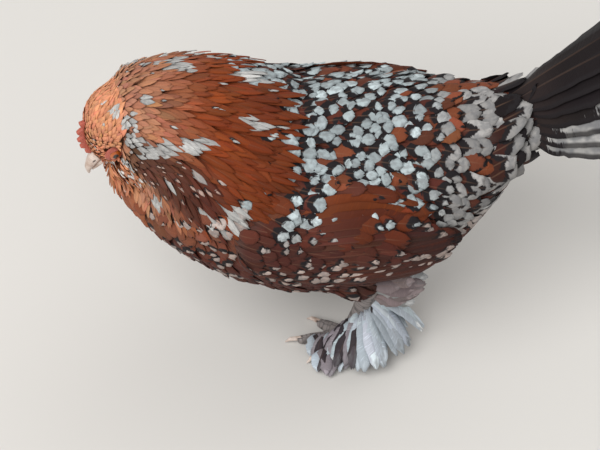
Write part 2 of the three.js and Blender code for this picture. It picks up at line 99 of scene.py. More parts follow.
class HenColours(bpy.types.PropertyGroup):
    crown: colour_of("Crown", "Feathers of the crown and face", (220, 150, 112))
    hackle: colour_of("Hackle", "Feathers of the lower neck", (142, 64, 26))
    bay: colour_of("Bay", "Ground of the back, shoulders and wings", (92, 46, 34))
    breast: colour_of("Breast", "Ground of the breast", (112, 54, 38))
    # Belly brown also serves as painted shade: on feathers that face down, the wing's lower part and the neck behind
    # the cheeks.
    belly: colour_of("Belly", "Ground of the belly and thighs", (80, 41, 33))
    bar: colour_of("Bar", "The black bar before a feather's tip", (30, 26, 28))
    spangle: colour_of("Spangle", "The pale tip of a back feather", (178, 190, 192))
    breast_spangle: colour_of("Breast spangle", "The pale tip of a breast feather", (184, 164, 154))
    tail: colour_of("Tail", "Vanes of the tail", (28, 22, 23))
    boot: colour_of("Boot", "Feathers of the foot", (204, 214, 222))
    horn: colour_of("Horn", "Beak and claws", (222, 207, 196))
    comb: colour_of("Comb", "Comb, lids and bare face", (178, 82, 64))
    iris: colour_of("Iris", "Ring of the eye", (176, 88, 32))
    scale: colour_of("Scale", "Scales of the shank and toes", (150, 141, 138))


class HenStage(bpy.types.PropertyGroup):
    azimuth: bpy.props.FloatProperty(
        name="Azimuth", description="Where the camera stands round the hen", default=math.radians(90), subtype="ANGLE"
    )
    elevation: bpy.props.FloatProperty(
        name="Elevation", description="How steeply the camera looks down", default=math.radians(50), subtype="ANGLE"
    )
    distance: length_of("Distance", "From the camera to the point it looks at", 3.2)
    view_width: length_of("View width", "Width of the view at that point", 0.3165)
    target: bpy.props.FloatVectorProperty(
        name="Target", description="The point that the camera looks at", default=(0, -0.0288, 0.0603), subtype="XYZ"
    )
    floor: colour_of("Floor", "Colour of the floor", (214, 211, 206))
    sky: bpy.props.FloatProperty(name="Sky", description="Strength of the light from all round", default=0.55, min=0)
    key: power_of("Key lamp", "Power of the main lamp", 26)
    fill: power_of("Fill lamp", "Power of the weaker lamp", 9)


# ------------------------------------------------------------------ handling objects
def deselect():
    if bpy.context.mode != "OBJECT":
        bpy.ops.object.mode_set(mode="OBJECT")
    bpy.ops.object.select_all(action="DESELECT")


def take(piece):
    """Makes one object the selected and active one."""
    deselect()
    piece.select_set(True)
    bpy.context.view_layer.objects.active = piece
    return piece


def modify(piece, kind, **settings):
    """Adds a modifier and applies it."""
    take(piece)
    modifier = piece.modifiers.new(kind.title(), kind)
    for name, value in settings.items():
        setattr(modifier, name, value)
    bpy.ops.object.modifier_apply(modifier=modifier.name)


def name_it(piece, name):
    piece.name = name
    piece.data.name = name
    return piece


def copy_of(name, nodes):
    """One mesh of loose copies of CAD nodes, with their doubled points merged."""
    deselect()
    for node in nodes:
        piece = bpy.data.objects.new(node + "_copy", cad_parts[node].data.copy())
        bpy.context.scene.collection.objects.link(piece)
        piece.select_set(True)
        bpy.context.view_layer.objects.active = piece
    bpy.ops.object.join()
    piece = name_it(bpy.context.view_layer.objects.active, name)
    piece.data.materials.clear()
    bpy.ops.object.mode_set(mode="EDIT")
    bpy.ops.mesh.select_all(action="SELECT")
    bpy.ops.mesh.remove_doubles(threshold=1e-5)
    bpy.ops.object.mode_set(mode="OBJECT")
    return piece


def threes(items, field, kind=np.float32):
    """A field of three numbers, of each of a mesh's items."""
    found = np.empty(len(items) * 3, kind)
    items.foreach_get(field, found)
    return found.reshape(-1, 3)


def points_of(mesh):
    return threes(mesh.vertices, "co").astype(float)


def triangles_of(mesh):
    mesh.calc_loop_triangles()
    return threes(mesh.loop_triangles, "vertices", np.int32)


def move_points(mesh, points):
    mesh.vertices.foreach_set("co", points.astype(np.float32).ravel())


def add_attribute(mesh, name, kind, values):
    data = mesh.attributes.new(name, kind, "POINT").data
    data.foreach_set("color" if kind == "FLOAT_COLOR" else "vector", values.astype(np.float32).ravel())


def tree_of(points):
    tree = KDTree(len(points))
    for i, point in enumerate(points.tolist()):
        tree.insert(point, i)
    tree.balance()
    return tree


def settle(piece, slot, *nodes):
    """The piece rides on the hen's one body, and stands for these CAD nodes."""
    deselect()
    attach(piece, "root")
    if nodes:
        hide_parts(*nodes)
    return piece


def unit(vectors):
    length = np.linalg.norm(vectors, axis=-1, keepdims=True)
    return vectors / np.maximum(length, 1e-12)


def along_surface(ways, normals):
    """The part of each direction that lies in the surface, as a unit vector."""
    return unit(ways - (ways * normals).sum(-1, keepdims=True) * normals)


def distance(points, place):
    return np.linalg.norm(points - place, axis=1)


def smooth(value, low, high):
    """0 at low, 1 at high, smooth between."""
    t = np.clip((value - low) / (high - low), 0, 1)
    return t * t * (3 - 2 * t)


def between(first, last, share):
    return first + (last - first) * share


def palette(*names):
    """The hen's colours of these names."""
    colours = bpy.context.scene.hen_colours
    return [np.array(getattr(colours, name)) for name in names]


# ------------------------------------------------------------------ the forms under the feathers
FLESH = ["head", "beard", "neck", "trunk", "rump"]
FLESH += [f"{part}_{side}" for side in SIDES for part in ("muff", "wing_coverts", "thigh", "shank", "foot")]
BODY = ["head", "beard", "neck", "trunk", "rump", "muff_left", "muff_right", "thigh_left", "thigh_right"]
WING = ("wing_coverts", "secondaries", "primaries")
# what one operator leaves for the next: forms, labels, the skin, and the places and colours of feathers
made = {}


class Form:
    """A smooth closed surface that answers where its nearest point is and which way that faces."""

    def __init__(self, piece):
        self.points = points_of(piece.data)
        self.normals = threes(piece.data.vertices, "normal").astype(float)
        self.triangles = triangles_of(piece.data)
        self.tree = BVHTree.FromPolygons(self.points.tolist(), self.triangles.tolist())

    def nearest(self, places):
        """Nearest points of the surface, and the smooth normals there."""
        spots = np.empty_like(places)
        faces = np.empty(len(places), int)
        for i, place in enumerate(places.tolist()):
            spot, _, face, _ = self.tree.find_nearest(place)
            spots[i] = spot
            faces[i] = face
        return spots, self.facing(spots, faces)

    def facing(self, spots, faces):
        """The smooth normals of these faces at these spots."""
        corners = self.triangles[faces]
        a, b, c = (self.points[corners[:, k]] for k in range(3))
        u, v, w = b - a, c - a, spots - a
        uu, uv, vv = (u * u).sum(1), (u * v).sum(1), (v * v).sum(1)
        wu, wv = (w * u).sum(1), (w * v).sum(1)
        scale = np.maximum(uu * vv - uv * uv, 1e-30)
        s = np.clip((wu * vv - wv * uv) / scale, 0, 1)[:, None]
        t = np.clip((wv * uu - wu * uv) / scale, 0, 1)[:, None]
        n = self.normals[corners]
        return unit(n[:, 0] * (1 - s - t) + n[:, 1] * s + n[:, 2] * t)

    def scatter(self, spacing, rng, keep=None):
        """Points spread over the surface, no two nearer than the spacing: a number, or a rule of the place."""
        reach_at = spacing if callable(spacing) else lambda places: np.full(len(places), spacing)
        a, b, c = (self.points[self.triangles[:, k]] for k in range(3))
        areas = np.linalg.norm(np.cross(b - a, c - a), axis=1) / 2
        count = int(areas.sum() / reach_at(self.points).min() ** 2 * 5)
        faces = rng.choice(len(areas), count, p=areas / areas.sum())
        s, t = rng.random((2, count))
        over = s + t > 1
        s[over], t[over] = 1 - s[over], 1 - t[over]
        spots = a[faces] + (b - a)[faces] * s[:, None] + (c - a)[faces] * t[:, None]
        if keep is not None:
            kept = keep(spots)
            spots, faces = spots[kept], faces[kept]
        reach = reach_at(spots)
        tree = tree_of(spots)
        free = np.ones(len(spots), bool)
        chosen = []
        for i, spot in enumerate(spots.tolist()):
            if free[i]:
                chosen.append(i)
                for _, other, _ in tree.find_range(spot, reach[i]):
                    free[other] = False
        return spots[chosen], self.facing(spots[chosen], faces[chosen])


def closed_form(name, nodes, swell=0.0006):
    """One closed smooth surface over several CAD nodes, with the thin cuts between them filled."""
    sizes = bpy.context.scene.hen_sizes
    piece = copy_of(name, nodes)
    modify(piece, "DISPLACE", strength=swell, mid_level=0, direction="NORMAL")
    modify(piece, "REMESH", mode="VOXEL", voxel_size=sizes.voxel, use_smooth_shade=True)
    return piece


def smooth_form(nodes, iterations):
    """The form that feathers lie along, over several CAD nodes."""
    piece = closed_form("form", nodes)
    modify(piece, "SMOOTH", factor=0.5, iterations=iterations)
    form = Form(piece)
    bpy.data.objects.remove(piece)
    return form


class Labels:
    """Tells which CAD node is nearest to a place."""

    def __init__(self, nodes):
        points, faces, self.owner = [], [], []
        start = 0
        for node in nodes:
            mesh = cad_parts[node].data
            here = points_of(mesh)
            tris = triangles_of(mesh)
            points.append(here)
            faces.append(tris + start)
            self.owner += [node] * len(tris)
            start += len(here)
        self.owner = np.array(self.owner)
        self.tree = BVHTree.FromPolygons(np.concatenate(points).tolist(), np.concatenate(faces).tolist())

    def at(self, places):
        return self.owner[[self.tree.find_nearest(place)[2] for place in places.tolist()]]


def on_parts(labels, *parts):
    """Which labels name a CAD node of these parts, on either side."""
    return np.any([np.char.startswith(labels, part) for part in parts], axis=0)


# ------------------------------------------------------------------ the head's own directions
def middle_of(node):
    low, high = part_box(node)
    return np.array((low + high) / 2)


HEAD_PITCH = math.radians(52)
HEAD_TURN = math.radians(20)
TURN = np.array(Matrix.Rotation(HEAD_TURN, 3, "Z") @ Matrix.Rotation(HEAD_PITCH, 3, "X"))
HEAD_LEFT, HEAD_FORWARD, HEAD_UP = TURN[:, 0], -TURN[:, 1], TURN[:, 2]
EYES = {side: middle_of(f"eye_{side}") for side in SIDES}
SKULL = (EYES["left"] + EYES["right"]) / 2 - HEAD_FORWARD * 10 * MM - HEAD_UP * 4.5 * MM


def in_head(across, forward, up):
    """A place given in millimetres in the head's own directions."""
    return SKULL + (HEAD_LEFT * across + HEAD_FORWARD * forward + HEAD_UP * up) * MM


def leg_line(side):
    """The hock and the ankle of one leg."""
    low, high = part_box(f"shank_{side}")
    across = (low.x + high.x) / 2
    return np.array([across, high.y - 0.004, high.z - 0.004]), np.array([across, low.y + 0.004, 0.006])


# ------------------------------------------------------------------ the lie of the coat
def flow_at(places, normals, labels):
    """Which way feathers point at each place, along the surface."""
    _, y, z = places.T[:, :, None] / MM
    rump = smooth(y, 38, 84)
    neck = smooth(-y, 20, 80) * smooth(z, 95, 125)
    low = 1 - smooth(z, 72, 112)
    way = np.array([0, 1, -0.16]) * (1 - rump) + np.array([0, 0.76, 0.65]) * rump
    way = way * (1 - neck) + np.array([0, 0.9, -0.5]) * neck
    front = np.maximum(-normals[:, 1:2], 0)
    offset = places - SKULL
    over = smooth(offset @ HEAD_UP / MM, -6, 6)[:, None]
    way = way + front * (np.array([0, 0.3, 1.2]) * over + np.array([0, -0.4, -1.3]) * (1 - over))
    way = way + np.abs(normals[:, 0:1]) * (1 - rump) * np.array([0, 0, -0.22])
    way = way + low * (1 - front) * np.array([0, 0, 0.42])

    from_axis = offset - (offset @ HEAD_FORWARD)[:, None] * HEAD_FORWARD
    head = -HEAD_FORWARD + unit(from_axis) * 0.55
    beard = -HEAD_UP * 0.9 - HEAD_FORWARD * 0.55
    side = np.sign(offset @ HEAD_LEFT)[:, None]
    muff = -HEAD_FORWARD * 0.8 - HEAD_UP * 0.45 + HEAD_LEFT * side * 0.35
    leg = np.array([0.05, 0.62, -0.78])
    wing = np.array([0, 1, -0.12]) + low * np.array([0, 0, 0.75])
    for name, rule in (("head", head), ("beard", beard), ("muff", muff), ("thigh", leg), ("wing", wing)):
        mine = on_parts(labels, name)
        way[mine] = np.broadcast_to(rule, way.shape)[mine]
    return along_surface(way, normals)


# ------------------------------------------------------------------ vanes
def round_tip(s):
    """Half width along a body feather, of its largest."""
    rise = 0.18 + 0.82 * np.sin(np.clip(s / 0.62, 0, 1) * np.pi / 2) ** 1.3
    fall = np.sqrt(np.clip(1 - (np.clip(s - 0.62, 0, 1) / 0.385) ** 2.2, 0, 1))
    return rise * fall + 0.04


def long_tip(s):
    """Half width along a hackle feather: narrow, with a long rounded point."""
    rise = 0.2 + 0.8 * np.sin(np.clip(s / 0.5, 0, 1) * np.pi / 2)
    fall = np.clip(1 - (np.clip(s - 0.5, 0, 1) / 0.505) ** 1.9, 0, 1) ** 0.8
    return rise * fall + 0.04


def quill_tip(s):
    """Half width along a quill: bare at the root, then an even vane with a rounded end."""
    rise = 0.1 + 0.9 * np.clip((s - 0.04) / 0.22, 0, 1) ** 0.7
    fall = np.sqrt(np.clip(1 - (np.clip(s - 0.8, 0, 1) / 0.203) ** 2.4, 0, 1))
    return rise * fall * (0.86 + 0.14 * smooth(s, 0.2, 0.7)) + 0.03


class Vane:
    """A thin closed feather one unit long, modelled once and laid many times."""

    def __init__(self, columns, rows, outline, shaft=0.0):
        deselect()
        count = len(columns) - 1
        bpy.ops.mesh.primitive_grid_add(x_subdivisions=count, y_subdivisions=rows, size=2)
        piece = bpy.context.view_layer.objects.active
        modify(piece, "SOLIDIFY", thickness=1, offset=0, use_even_offset=False)
        x, y, z = points_of(piece.data).T
        self.columns, self.rows = count + 1, rows
        self.column = np.rint((x + 1) / 2 * count).astype(int)
        self.row = np.rint((y + 1) / 2 * rows).astype(int)
        self.a = np.array(columns)[self.column]
        self.s = 1 - (1 - (y + 1) / 2) ** 1.15
        self.z = np.sign(z) * 0.5
        self.wide = self.a * outline(self.s)
        self.ridge = np.exp(-((self.a / 0.12) ** 2)) * shaft * (1 - self.s * 0.85)
        self.faces = np.array([list(p.vertices) for p in piece.data.polygons], np.int32)
        bpy.data.objects.remove(piece)


class Coat:
    """Gathers laid feathers and makes them one mesh."""

    def __init__(self, name, rng):
        self.name = name
        self.rng = rng
        self.co, self.vane, self.ground, self.tip, self.uv, self.faces = [], [], [], [], [], []
        self.start = 0

    def lay(self, kind, feathers, thick, places, camber=0.12, ragged=0.1, twist=0.12, patch=(0.003, 0.006)):
        """Lays copies of one vane.

        feathers: the line of each (root, middle and tip), its normals at root and tip, its width and its look.
        camber: how far the sides bend down. ragged: how uneven the outline is. twist: how far one turns about
        its line. places and patch: where each lies on the bake's map, and how large it is there.
        """
        line, facing, width, look = feathers
        root, middle, tip = (p[:, None, :] for p in line)
        count = len(line[0])
        s = kind.s[None, :, None]
        centre = root * (2 * (s - 0.5) * (s - 1)) + middle * (-4 * s * (s - 1)) + tip * (2 * s * (s - 0.5))
        along = unit(root * (4 * s - 3) + middle * (4 - 8 * s) + tip * (4 * s - 1))
        up = facing[0][:, None, :] * (1 - s) + facing[1][:, None, :] * s
        up = unit(up - (up * along).sum(-1, keepdims=True) * along)
        across = np.cross(along, up)
        turn = self.rng.normal(0, twist, count)[:, None, None]
        up, across = up * np.cos(turn) + across * np.sin(turn), across * np.cos(turn) - up * np.sin(turn)
        width = np.broadcast_to(width, (count,))[:, None, None]
        fray = 1 + ragged * self.rng.normal(0, 1, (count, kind.rows + 1, 2)).clip(-1.6, 1.6)
        fray = fray[:, kind.row, (kind.a > 0).astype(int), None]
        fray = np.where(s > 0.3, fray, 1)
        jag = self.rng.normal(0, 1, (count, kind.columns)).clip(-1.6, 1.6)[:, kind.column, None] * width
        jag = jag * ragged * 0.6 * smooth(s, 0.62, 0.95)
        a = kind.a[None, :, None]
        z = kind.z[None, :, None]
        body = z * thick * (1 - 0.6 * np.abs(a)) * (1 - 0.5 * s)
        lift = body + kind.ridge[None, :, None] * np.sign(z) * thick
        lift = lift - camber * a**2 * width / 2
        co = centre + across * (kind.wide[None, :, None] * fray * width / 2) + up * lift + along * jag
        self.co.append(co.reshape(-1, 3))

        spread = lambda values: np.broadcast_to(values, co.shape[:2])
        aside, spot, seed = spread(kind.a[None]), spread(kind.s[None]), spread(self.rng.random(count)[:, None])
        self.vane.append(np.stack([aside, spot, seed], -1).reshape(-1, 3))
        for store, values in zip((self.ground, self.tip), look):
            store.append(np.repeat(values, len(kind.s), axis=0))
        u, v = places[0][:, None], places[1][:, None]
        spots = [u + aside * patch[0] / 2, v + (spot - 0.5) * patch[1]]
        self.uv.append(np.stack(spots, -1).reshape(-1, 2))
        block = kind.faces[None] + (self.start + np.arange(count) * len(kind.s))[:, None, None]
        self.faces.append(block.reshape(-1, 4))
        self.start += count * len(kind.s)

    def finish(self, material, slot, *nodes):
        mesh = bpy.data.meshes.new(self.name)
        co = np.concatenate(self.co)
        faces = np.concatenate(self.faces)
        mesh.vertices.add(len(co))
        move_points(mesh, co)
        mesh.loops.add(faces.size)
        mesh.loops.foreach_set("vertex_index", faces.ravel())
        mesh.polygons.add(len(faces))
        mesh.polygons.foreach_set("loop_start", np.arange(0, faces.size, 4, dtype=np.int32))
        mesh.polygons.foreach_set("use_smooth", np.ones(len(faces), bool))
        mesh.update(calc_edges=True)
        uv = mesh.uv_layers.new(name="OFBake")
        uv.data.foreach_set("uv", np.concatenate(self.uv)[faces.ravel()].astype(np.float32).ravel())
        add_attribute(mesh, "vane", "FLOAT_VECTOR", np.concatenate(self.vane))
        add_attribute(mesh, "ground", "FLOAT_COLOR", np.concatenate(self.ground))
        add_attribute(mesh, "tip", "FLOAT_COLOR", np.concatenate(self.tip))
        mesh.validate()
        mesh.materials.append(material)
        piece = bpy.data.objects.new(self.name, mesh)
        bpy.context.scene.collection.objects.link(piece)
        made.setdefault("coats", []).append((self.name, len(faces) * 2))
        return settle(piece, slot, *nodes)


def those(mine, feathers):
    """The lines, normals, widths and looks of some of the feathers."""
    line, facing, width, look = feathers
    return [p[mine] for p in line], [f[mine] for f in facing], width[mine], [c[mine] for c in look]


def lay_coat(name, rng, kind, feathers, thick, unwrapped, material, slot="plumage", **shape):
    """A coat of one kind of feather. unwrapped: two coordinates of each on the skin's own unwrap."""
    coat = Coat(name, rng)
    coat.lay(kind, feathers, thick, map_places(*unwrapped), **shape)
    coat.finish(material, slot)


def map_places(first, second):
    """Even places on the bake's map, kept in the order of two coordinates of the skin's own unwrap."""
    count = len(first)
    rows = max(1, int(round(math.sqrt(count))))
    order = np.argsort(second, kind="stable")
    u, v = np.empty(count), np.empty(count)
    for row, members in enumerate(np.array_split(order, rows)):
        members = members[np.argsort(first[members], kind="stable")]
        u[members] = (np.arange(len(members)) + 0.5) / len(members)
        v[members] = (row + 0.5) / rows
    return 0.01 + u * 0.98, 0.01 + v * 0.98


def round_the_body(places):
    """Coordinates on an unwrap round the body's length: the angle about it, and the place along it."""
    x, y, z = places.T / MM
    axis = np.interp(y, [-115, -60, 25, 60, 95], [142, 112, 100, 112, 145])
    return np.arctan2(x, z - axis), y


def round_the_head(places):
    """Coordinates on an unwrap round the head, from the beak back."""
    offset = places - SKULL
    return np.arctan2(offset @ HEAD_LEFT, offset @ HEAD_UP), unit(offset) @ HEAD_FORWARD


def sprout(spacing, rng, keep, *parts):
    """Where feathers grow on these parts of the body: the places, the normals there and the parts' names."""
    places, normals = made["body"].scatter(spacing, rng, keep)
    labels = made["labels"].at(places)
    mine = on_parts(labels, *parts)
    return places[mine], normals[mine], labels[mine]


def over_form(form, places, normals, labels, length, depth, lift, rng, sway=0.08):
    """Lines and facings of feathers that start at these places and lie along the form.

    depth: how far under the form the roots lie. lift: how far above it the tips do.
    """
    way = flow_at(places, normals, labels)
    sideways = np.cross(way, normals)
    way = unit(way + sideways * rng.normal(0, sway, len(way))[:, None])
    length = length[:, None]
    middle, middle_up = form.nearest(places + way * length * 0.5)
    onward = along_surface(way, middle_up)
    tip, tip_up = form.nearest(middle + onward * length * 0.5)
    depth = np.broadcast_to(depth, len(way))[:, None]
    lift = (lift * (1 + 0.5 * rng.normal(0, 1, len(way)).clip(-1.5, 2)))[:, None]
    root = places - normals * depth - way * length * 0.08
    middle = middle + middle_up * (lift * 0.35 - depth * 0.22)
    tip = tip + tip_up * lift
    return (root, middle, tip), (normals, tip_up)


def shown_part(line):
    """The middle of the part of each feather that the next ones leave bare."""
    return line[1] * 0.25 + line[2] * 0.75


def grown(form, found, length, width, depth, lift, rng, paint, spread=0.12, sway=0.08):
    """The lines, normals, widths and looks of feathers that start at these places and lie along the form.

    Their colours are kept for the skin. paint: a rule for their markings, from the places where they show and the
    normals there. spread: how much their shade varies.
    """
    line, facing = over_form(form, *found, length, depth, lift, rng, sway)
    shown = shown_part(line)
    look = look_of(*paint(shown, facing[1]), rng, spread)
    made["roots"].append((shown, look[0][:, :3]))
    return line, facing, width, look


# ------------------------------------------------------------------ markings
def look_of(ground, spangle, white, bar, rng, spread=0.12, tint=0.05):
    """Colours of feathers: ground with the white tip's share of the length, and spangle with the black bar's.

    ground, spangle and bar may be one for all of the feathers.
    """
    count = len(white)
    shade = np.exp(rng.normal(0, spread, (count, 1)))
    warm = 1 + rng.normal(0, tint, (count, 3))
    pale = np.exp(rng.normal(0, 0.16, (count, 1)))
    first = np.concatenate([ground * shade * warm, white[:, None]], 1)
    second = np.concatenate([spangle * pale, np.broadcast_to(bar, count)[:, None]], 1)
    return np.clip(first, 0, 1), np.clip(second, 0, 1)


def blend(first, second, share):
    return first + (second - first) * share[:, None]


def drift(mm, size, seed):
    """A smooth random field, from about -1 to 1, with lumps of about this size in millimetres."""
    rng = np.random.default_rng(seed)
    waves = unit(rng.normal(size=(8, 3))) * rng.uniform(0.7, 1.4, (8, 1)) * math.pi / size
    return np.sin(mm @ waves.T + rng.uniform(0, 2 * math.pi, 8)).sum(1) / 5


# The plain brown patches of the back and saddle, and the pale tufts of the face, neck and shoulder: place and reach
# in millimetres. One with x above 0 is on both sides.
BROWN_PATCHES = (
    (12, 53, 155, 11),
    (26, 73, 143, 8),
    (23, 0, 148, 6),
    (14, 26, 152, 4),
    (37, -8, 139, 6),
    (36, 22, 140, 4),
)
FACE_TUFTS = (
    (12, -126, 123, 6.5),
    (8, -130, 121, 6.5),
    (21, -122, 132, 5),
    (26, -118, 139, 5),
)
PALE_TUFTS = (
    (27, -117, 138, 5),
    (12, -122, 166, 4),
    (13, -105, 173, 4.5),
    (20, -115, 166, 5.5),
    (27, -112, 157, 5.5),
    (32, -105, 155, 5.5),
    (33, -95, 159, 5.5),
    (31, -82, 160, 4.5),
    (31, -75, 160, 4.5),
    (-16, -90, 171, 8),
    (42, -94, 139, 3.5),
    (43, -78, 143, 3.5),
    (36, -101, 120, 4),
    (52, -61, 124, 8),
    (50, -70, 118, 6),
    (15, -51, 159, 6),
)


def within(mm, patches):
    """1 inside the patches, 0 outside."""
    inside = np.zeros(len(mm))
    for x, y, z, reach in patches:
        mirrored = mm * (np.sign(mm[:, :1]) if x > 0 else 1) * [1, 0, 0] + mm * [0, 1, 1]
        away = distance(mirrored, (x, y, z))
        inside = np.maximum(inside, 1 - smooth(away, reach * 0.8, reach * 1.25))
    return inside


def in_tuft(mm):
    return within(mm, PALE_TUFTS)


def right_gap(x):
    """How much further forward the hackle ends on the right, where the turned neck draws it up, in millimetres."""
    return 20 * smooth(-x, 0, 26)


def hackle_zone(places):
    """1 where the long feathers of the neck grow, 0 where the round ones of the body do."""
    mm = places / MM
    x, y, z = mm.T
    low = np.interp(y, [-144, -114, -89, -64], [112, 120, 130, 143])
    ends = smooth(-y + 4 * drift(mm, 14, 3) - right_gap(x), 54, 66)
    return ends * smooth(z - low, -5, 6)


def body_look(shown, facing, rng):
    """Mahogany barred black and tipped white: densest on the back, sparser on the breast, dull on the belly, where
    feathers that face down darken, partly the belly's own colour and partly painted shade.
    """
    crown, hackle, bay, breast, belly = palette("crown", "hackle", "bay", "breast", "belly")
    spangle, breast_spangle = palette("spangle", "breast_spangle")
    mm = shown / MM
    x, y, z = mm.T
    count = len(mm)
    rear = smooth(y, 30, 52)
    lumps = drift(mm, 9, 15)
    top = np.maximum(smooth(facing[:, 2], 0.1, 0.55), rear * smooth(z, 96, 116))
    low = smooth(-facing[:, 2], -0.1, 0.6)
    front = smooth(-y, 25, 80) * (1 - top)
    throat = smooth(-y, 98, 112)
    collar = smooth(-y + 7 * drift(mm, 10, 9) - 2.2 * right_gap(x), 27, 38) * smooth(z, 122, 132)
    brown = np.maximum(within(mm, BROWN_PATCHES), smooth(drift(mm, 13, 5), 0.35, 0.7) * rear) * top

    # Partly painted shade: feathers that face down take the darker belly brown.
    ground = blend(blend(bay, breast, front), belly, low * 0.85)
    ground = blend(ground, hackle * 0.5 + crown * 0.1 + bay * 0.3, brown)
    ground = blend(ground, breast * 0.7 + crown * 0.3, front * smooth(z, 84, 106) * 0.6)
    ground = blend(ground, hackle * 0.7 + crown * 0.25, throat)
    ground = blend(ground, hackle * 0.9, collar * 0.8)
    rump_grey = (spangle + breast_spangle) * 0.38
    tips = blend(blend(breast_spangle, spangle, top), rump_grey, rear * top)

    chance = 0.4 + 0.58 * top + 0.25 * front - 0.18 * low + 0.22 * lumps
    chance = chance * (1 - 0.8 * brown) * (1 - 0.65 * throat) * (1 - 0.92 * collar)
    has = rng.random(count) < np.maximum(chance, in_tuft(mm))
    white = (rng.uniform(0.12, 0.28, count) + 0.1 * top) * (1 + 0.3 * lumps) + 0.25 * in_tuft(mm)
    white = np.where(has, white * (1 - 0.25 * rear * top), 0)
    bar = np.where(has, rng.uniform(0.1, 0.2, count) + 0.05 * top, rng.uniform(0, 0.13, count))
    return ground, tips, white, bar


def covert_look(shown, rng):
    """Nearly black over the tail's middle, mottled grey-white at its sides."""
    tail, bay, spangle, breast_spangle = palette("tail", "bay", "spangle", "breast_spangle")
    count = len(shown)
    aside = smooth(np.abs(shown[:, 0]) / MM, 7, 16)
    ground = blend(tail * 0.8, bay * 0.8, aside * 0.6)
    has = rng.random(count) < 0.12 + 0.7 * aside
    white = np.where(has, rng.uniform(0.06, 0.16, count) + 0.06 * aside, 0)
    return ground, (spangle + breast_spangle) * 0.34, white, rng.uniform(0.08, 0.2, count)


def hackle_look(shown, rng):
    """Light orange at the nape to rust below, darker mahogany behind the cheeks as painted shade under the head, with
    a few grey-white tufts.
    """
    crown, hackle, belly, spangle, horn = palette("crown", "hackle", "belly", "spangle", "horn")
    mm = shown / MM
    x, y, z = mm.T
    count = len(mm)
    axis = np.interp(y, [-126, -112, -94, -74, -55], [155, 145, 133, 120, 109])
    about = np.degrees(np.arctan2(np.abs(x), z - axis))
    cheek = smooth(about, 50, 62) * (1 - smooth(about, 94, 106))
    cheek *= smooth(-y, 56, 70) * (1 - smooth(-y, 110, 120))
    # The nape's orange is dulled to a greyish tan and darkened: partly its own colour, partly painted shade on the
    # top of the neck.
    ground = blend(hackle, crown * [0.72, 0.78, 0.86], smooth(-y, 66, 120))
    # Painted shade under the head: the neck's sides behind the cheeks darken towards belly brown.
    ground = blend(ground, belly * 0.9, cheek * 0.85)
    ground = blend(ground, hackle * 0.56, smooth(-y, 70, 44) * 0.85)
    ground = ground * (1 + 0.2 * drift(mm, 9, 4)[:, None])
    tuft = in_tuft(mm)
    # In that painted shade behind the cheeks, the pale tips dim towards a darker orange.
    tips = blend((spangle + horn * 0.8) / 2, crown * 0.7, cheek * (1 - tuft) * 0.6)
    has = rng.random(count) < np.maximum(0.04 + 0.26 * cheek, tuft * 1.1)
    white = np.where(has, rng.uniform(0.1, 0.2, count) + 0.45 * tuft, 0)
    bar = np.where(has, rng.uniform(0.02, 0.08, count), 0)
    return ground, tips, white, bar


def face_look(shown, rng):
    """Light orange, with pale flecks on the cheeks."""
    crown, spangle, horn = palette("crown", "spangle", "horn")
    mm = shown / MM
    offset = (shown - SKULL) / MM
    ground = crown * (1 + 0.12 * drift(mm, 6, 8)[:, None])
    cheek = smooth(offset @ HEAD_FORWARD, 10, 14) * (1 - smooth(offset @ HEAD_UP, -3, 1))
    pale = rng.random(len(mm)) < np.maximum(np.maximum(in_tuft(mm), cheek), 0.02)
    return ground, between(spangle, horn, 0.5), np.where(pale, rng.uniform(0.3, 0.6, len(mm)), 0), 0


def muff_look(shown, rng):
    """Rust-orange, paler in the tufts at the chin, and more often tipped white there."""
    crown, hackle, spangle, horn = palette("crown", "hackle", "spangle", "horn")
    count = len(shown)
    chin = within(shown / MM, FACE_TUFTS)
    ground = blend(crown * 0.5 + hackle * 0.45, crown * 0.9, chin)
    pale = rng.random(count) < 0.14 + 0.5 * chin
    white = np.where(pale, rng.uniform(0.3, 0.5, count) + 0.15 * chin, 0)
    return ground, between(spangle, horn, 0.6) * 1.15, white, 0


def wing_look(shown, upper, lower, rng):
    """Bay tipped grey above, dull brown tipped pink below, and a plainer rust wedge at the upper rear; the ground
    darkens from bay above to dull brown below, partly the wing's own colour and partly painted shade.
    """
    bay, belly, pink, grey, rust = palette("bay", "belly", "breast_spangle", "spangle", "hackle")
    mm = shown / MM
    _, y, z = mm.T
    count = len(mm)
    high = smooth(z, 106, 128)
    brown = within(mm, BROWN_PATCHES)
    tuft = in_tuft(mm)
    wedge = smooth(y, -14, 2) * smooth(z, 104, 120)
    # Partly painted shade: the ground darkens from bay above to belly brown below.
    ground = blend(blend(belly, bay * 1.05, high), rust * 0.4 + bay * 0.2, np.maximum(brown, wedge))
    flecked = smooth(y, -44, -24) * high
    chance = 0.4 + 0.25 * upper + 0.28 * flecked + 0.3 * lower
    chance = chance * (1 - 0.72 * smooth(y, -16, 0) * (1 - lower))
    has = rng.random(count) < np.maximum(chance * (1 - 0.8 * brown), tuft)
    white = np.where(has, rng.uniform(0.1, 0.22, count) + 0.2 * tuft + 0.08 * lower, 0)
    bar = np.where(has, rng.uniform(0.06, 0.16, count), rng.uniform(0, 0.1, count))
    return ground, blend(pink, grey, high), white, bar


# ------------------------------------------------------------------ materials
DOWN = linear(76, 62, 58)
# Grey of the pale tip's clouds: partly mottling, partly painted shade.
TIP_MOTTLE_SHADE = linear(112, 112, 114)
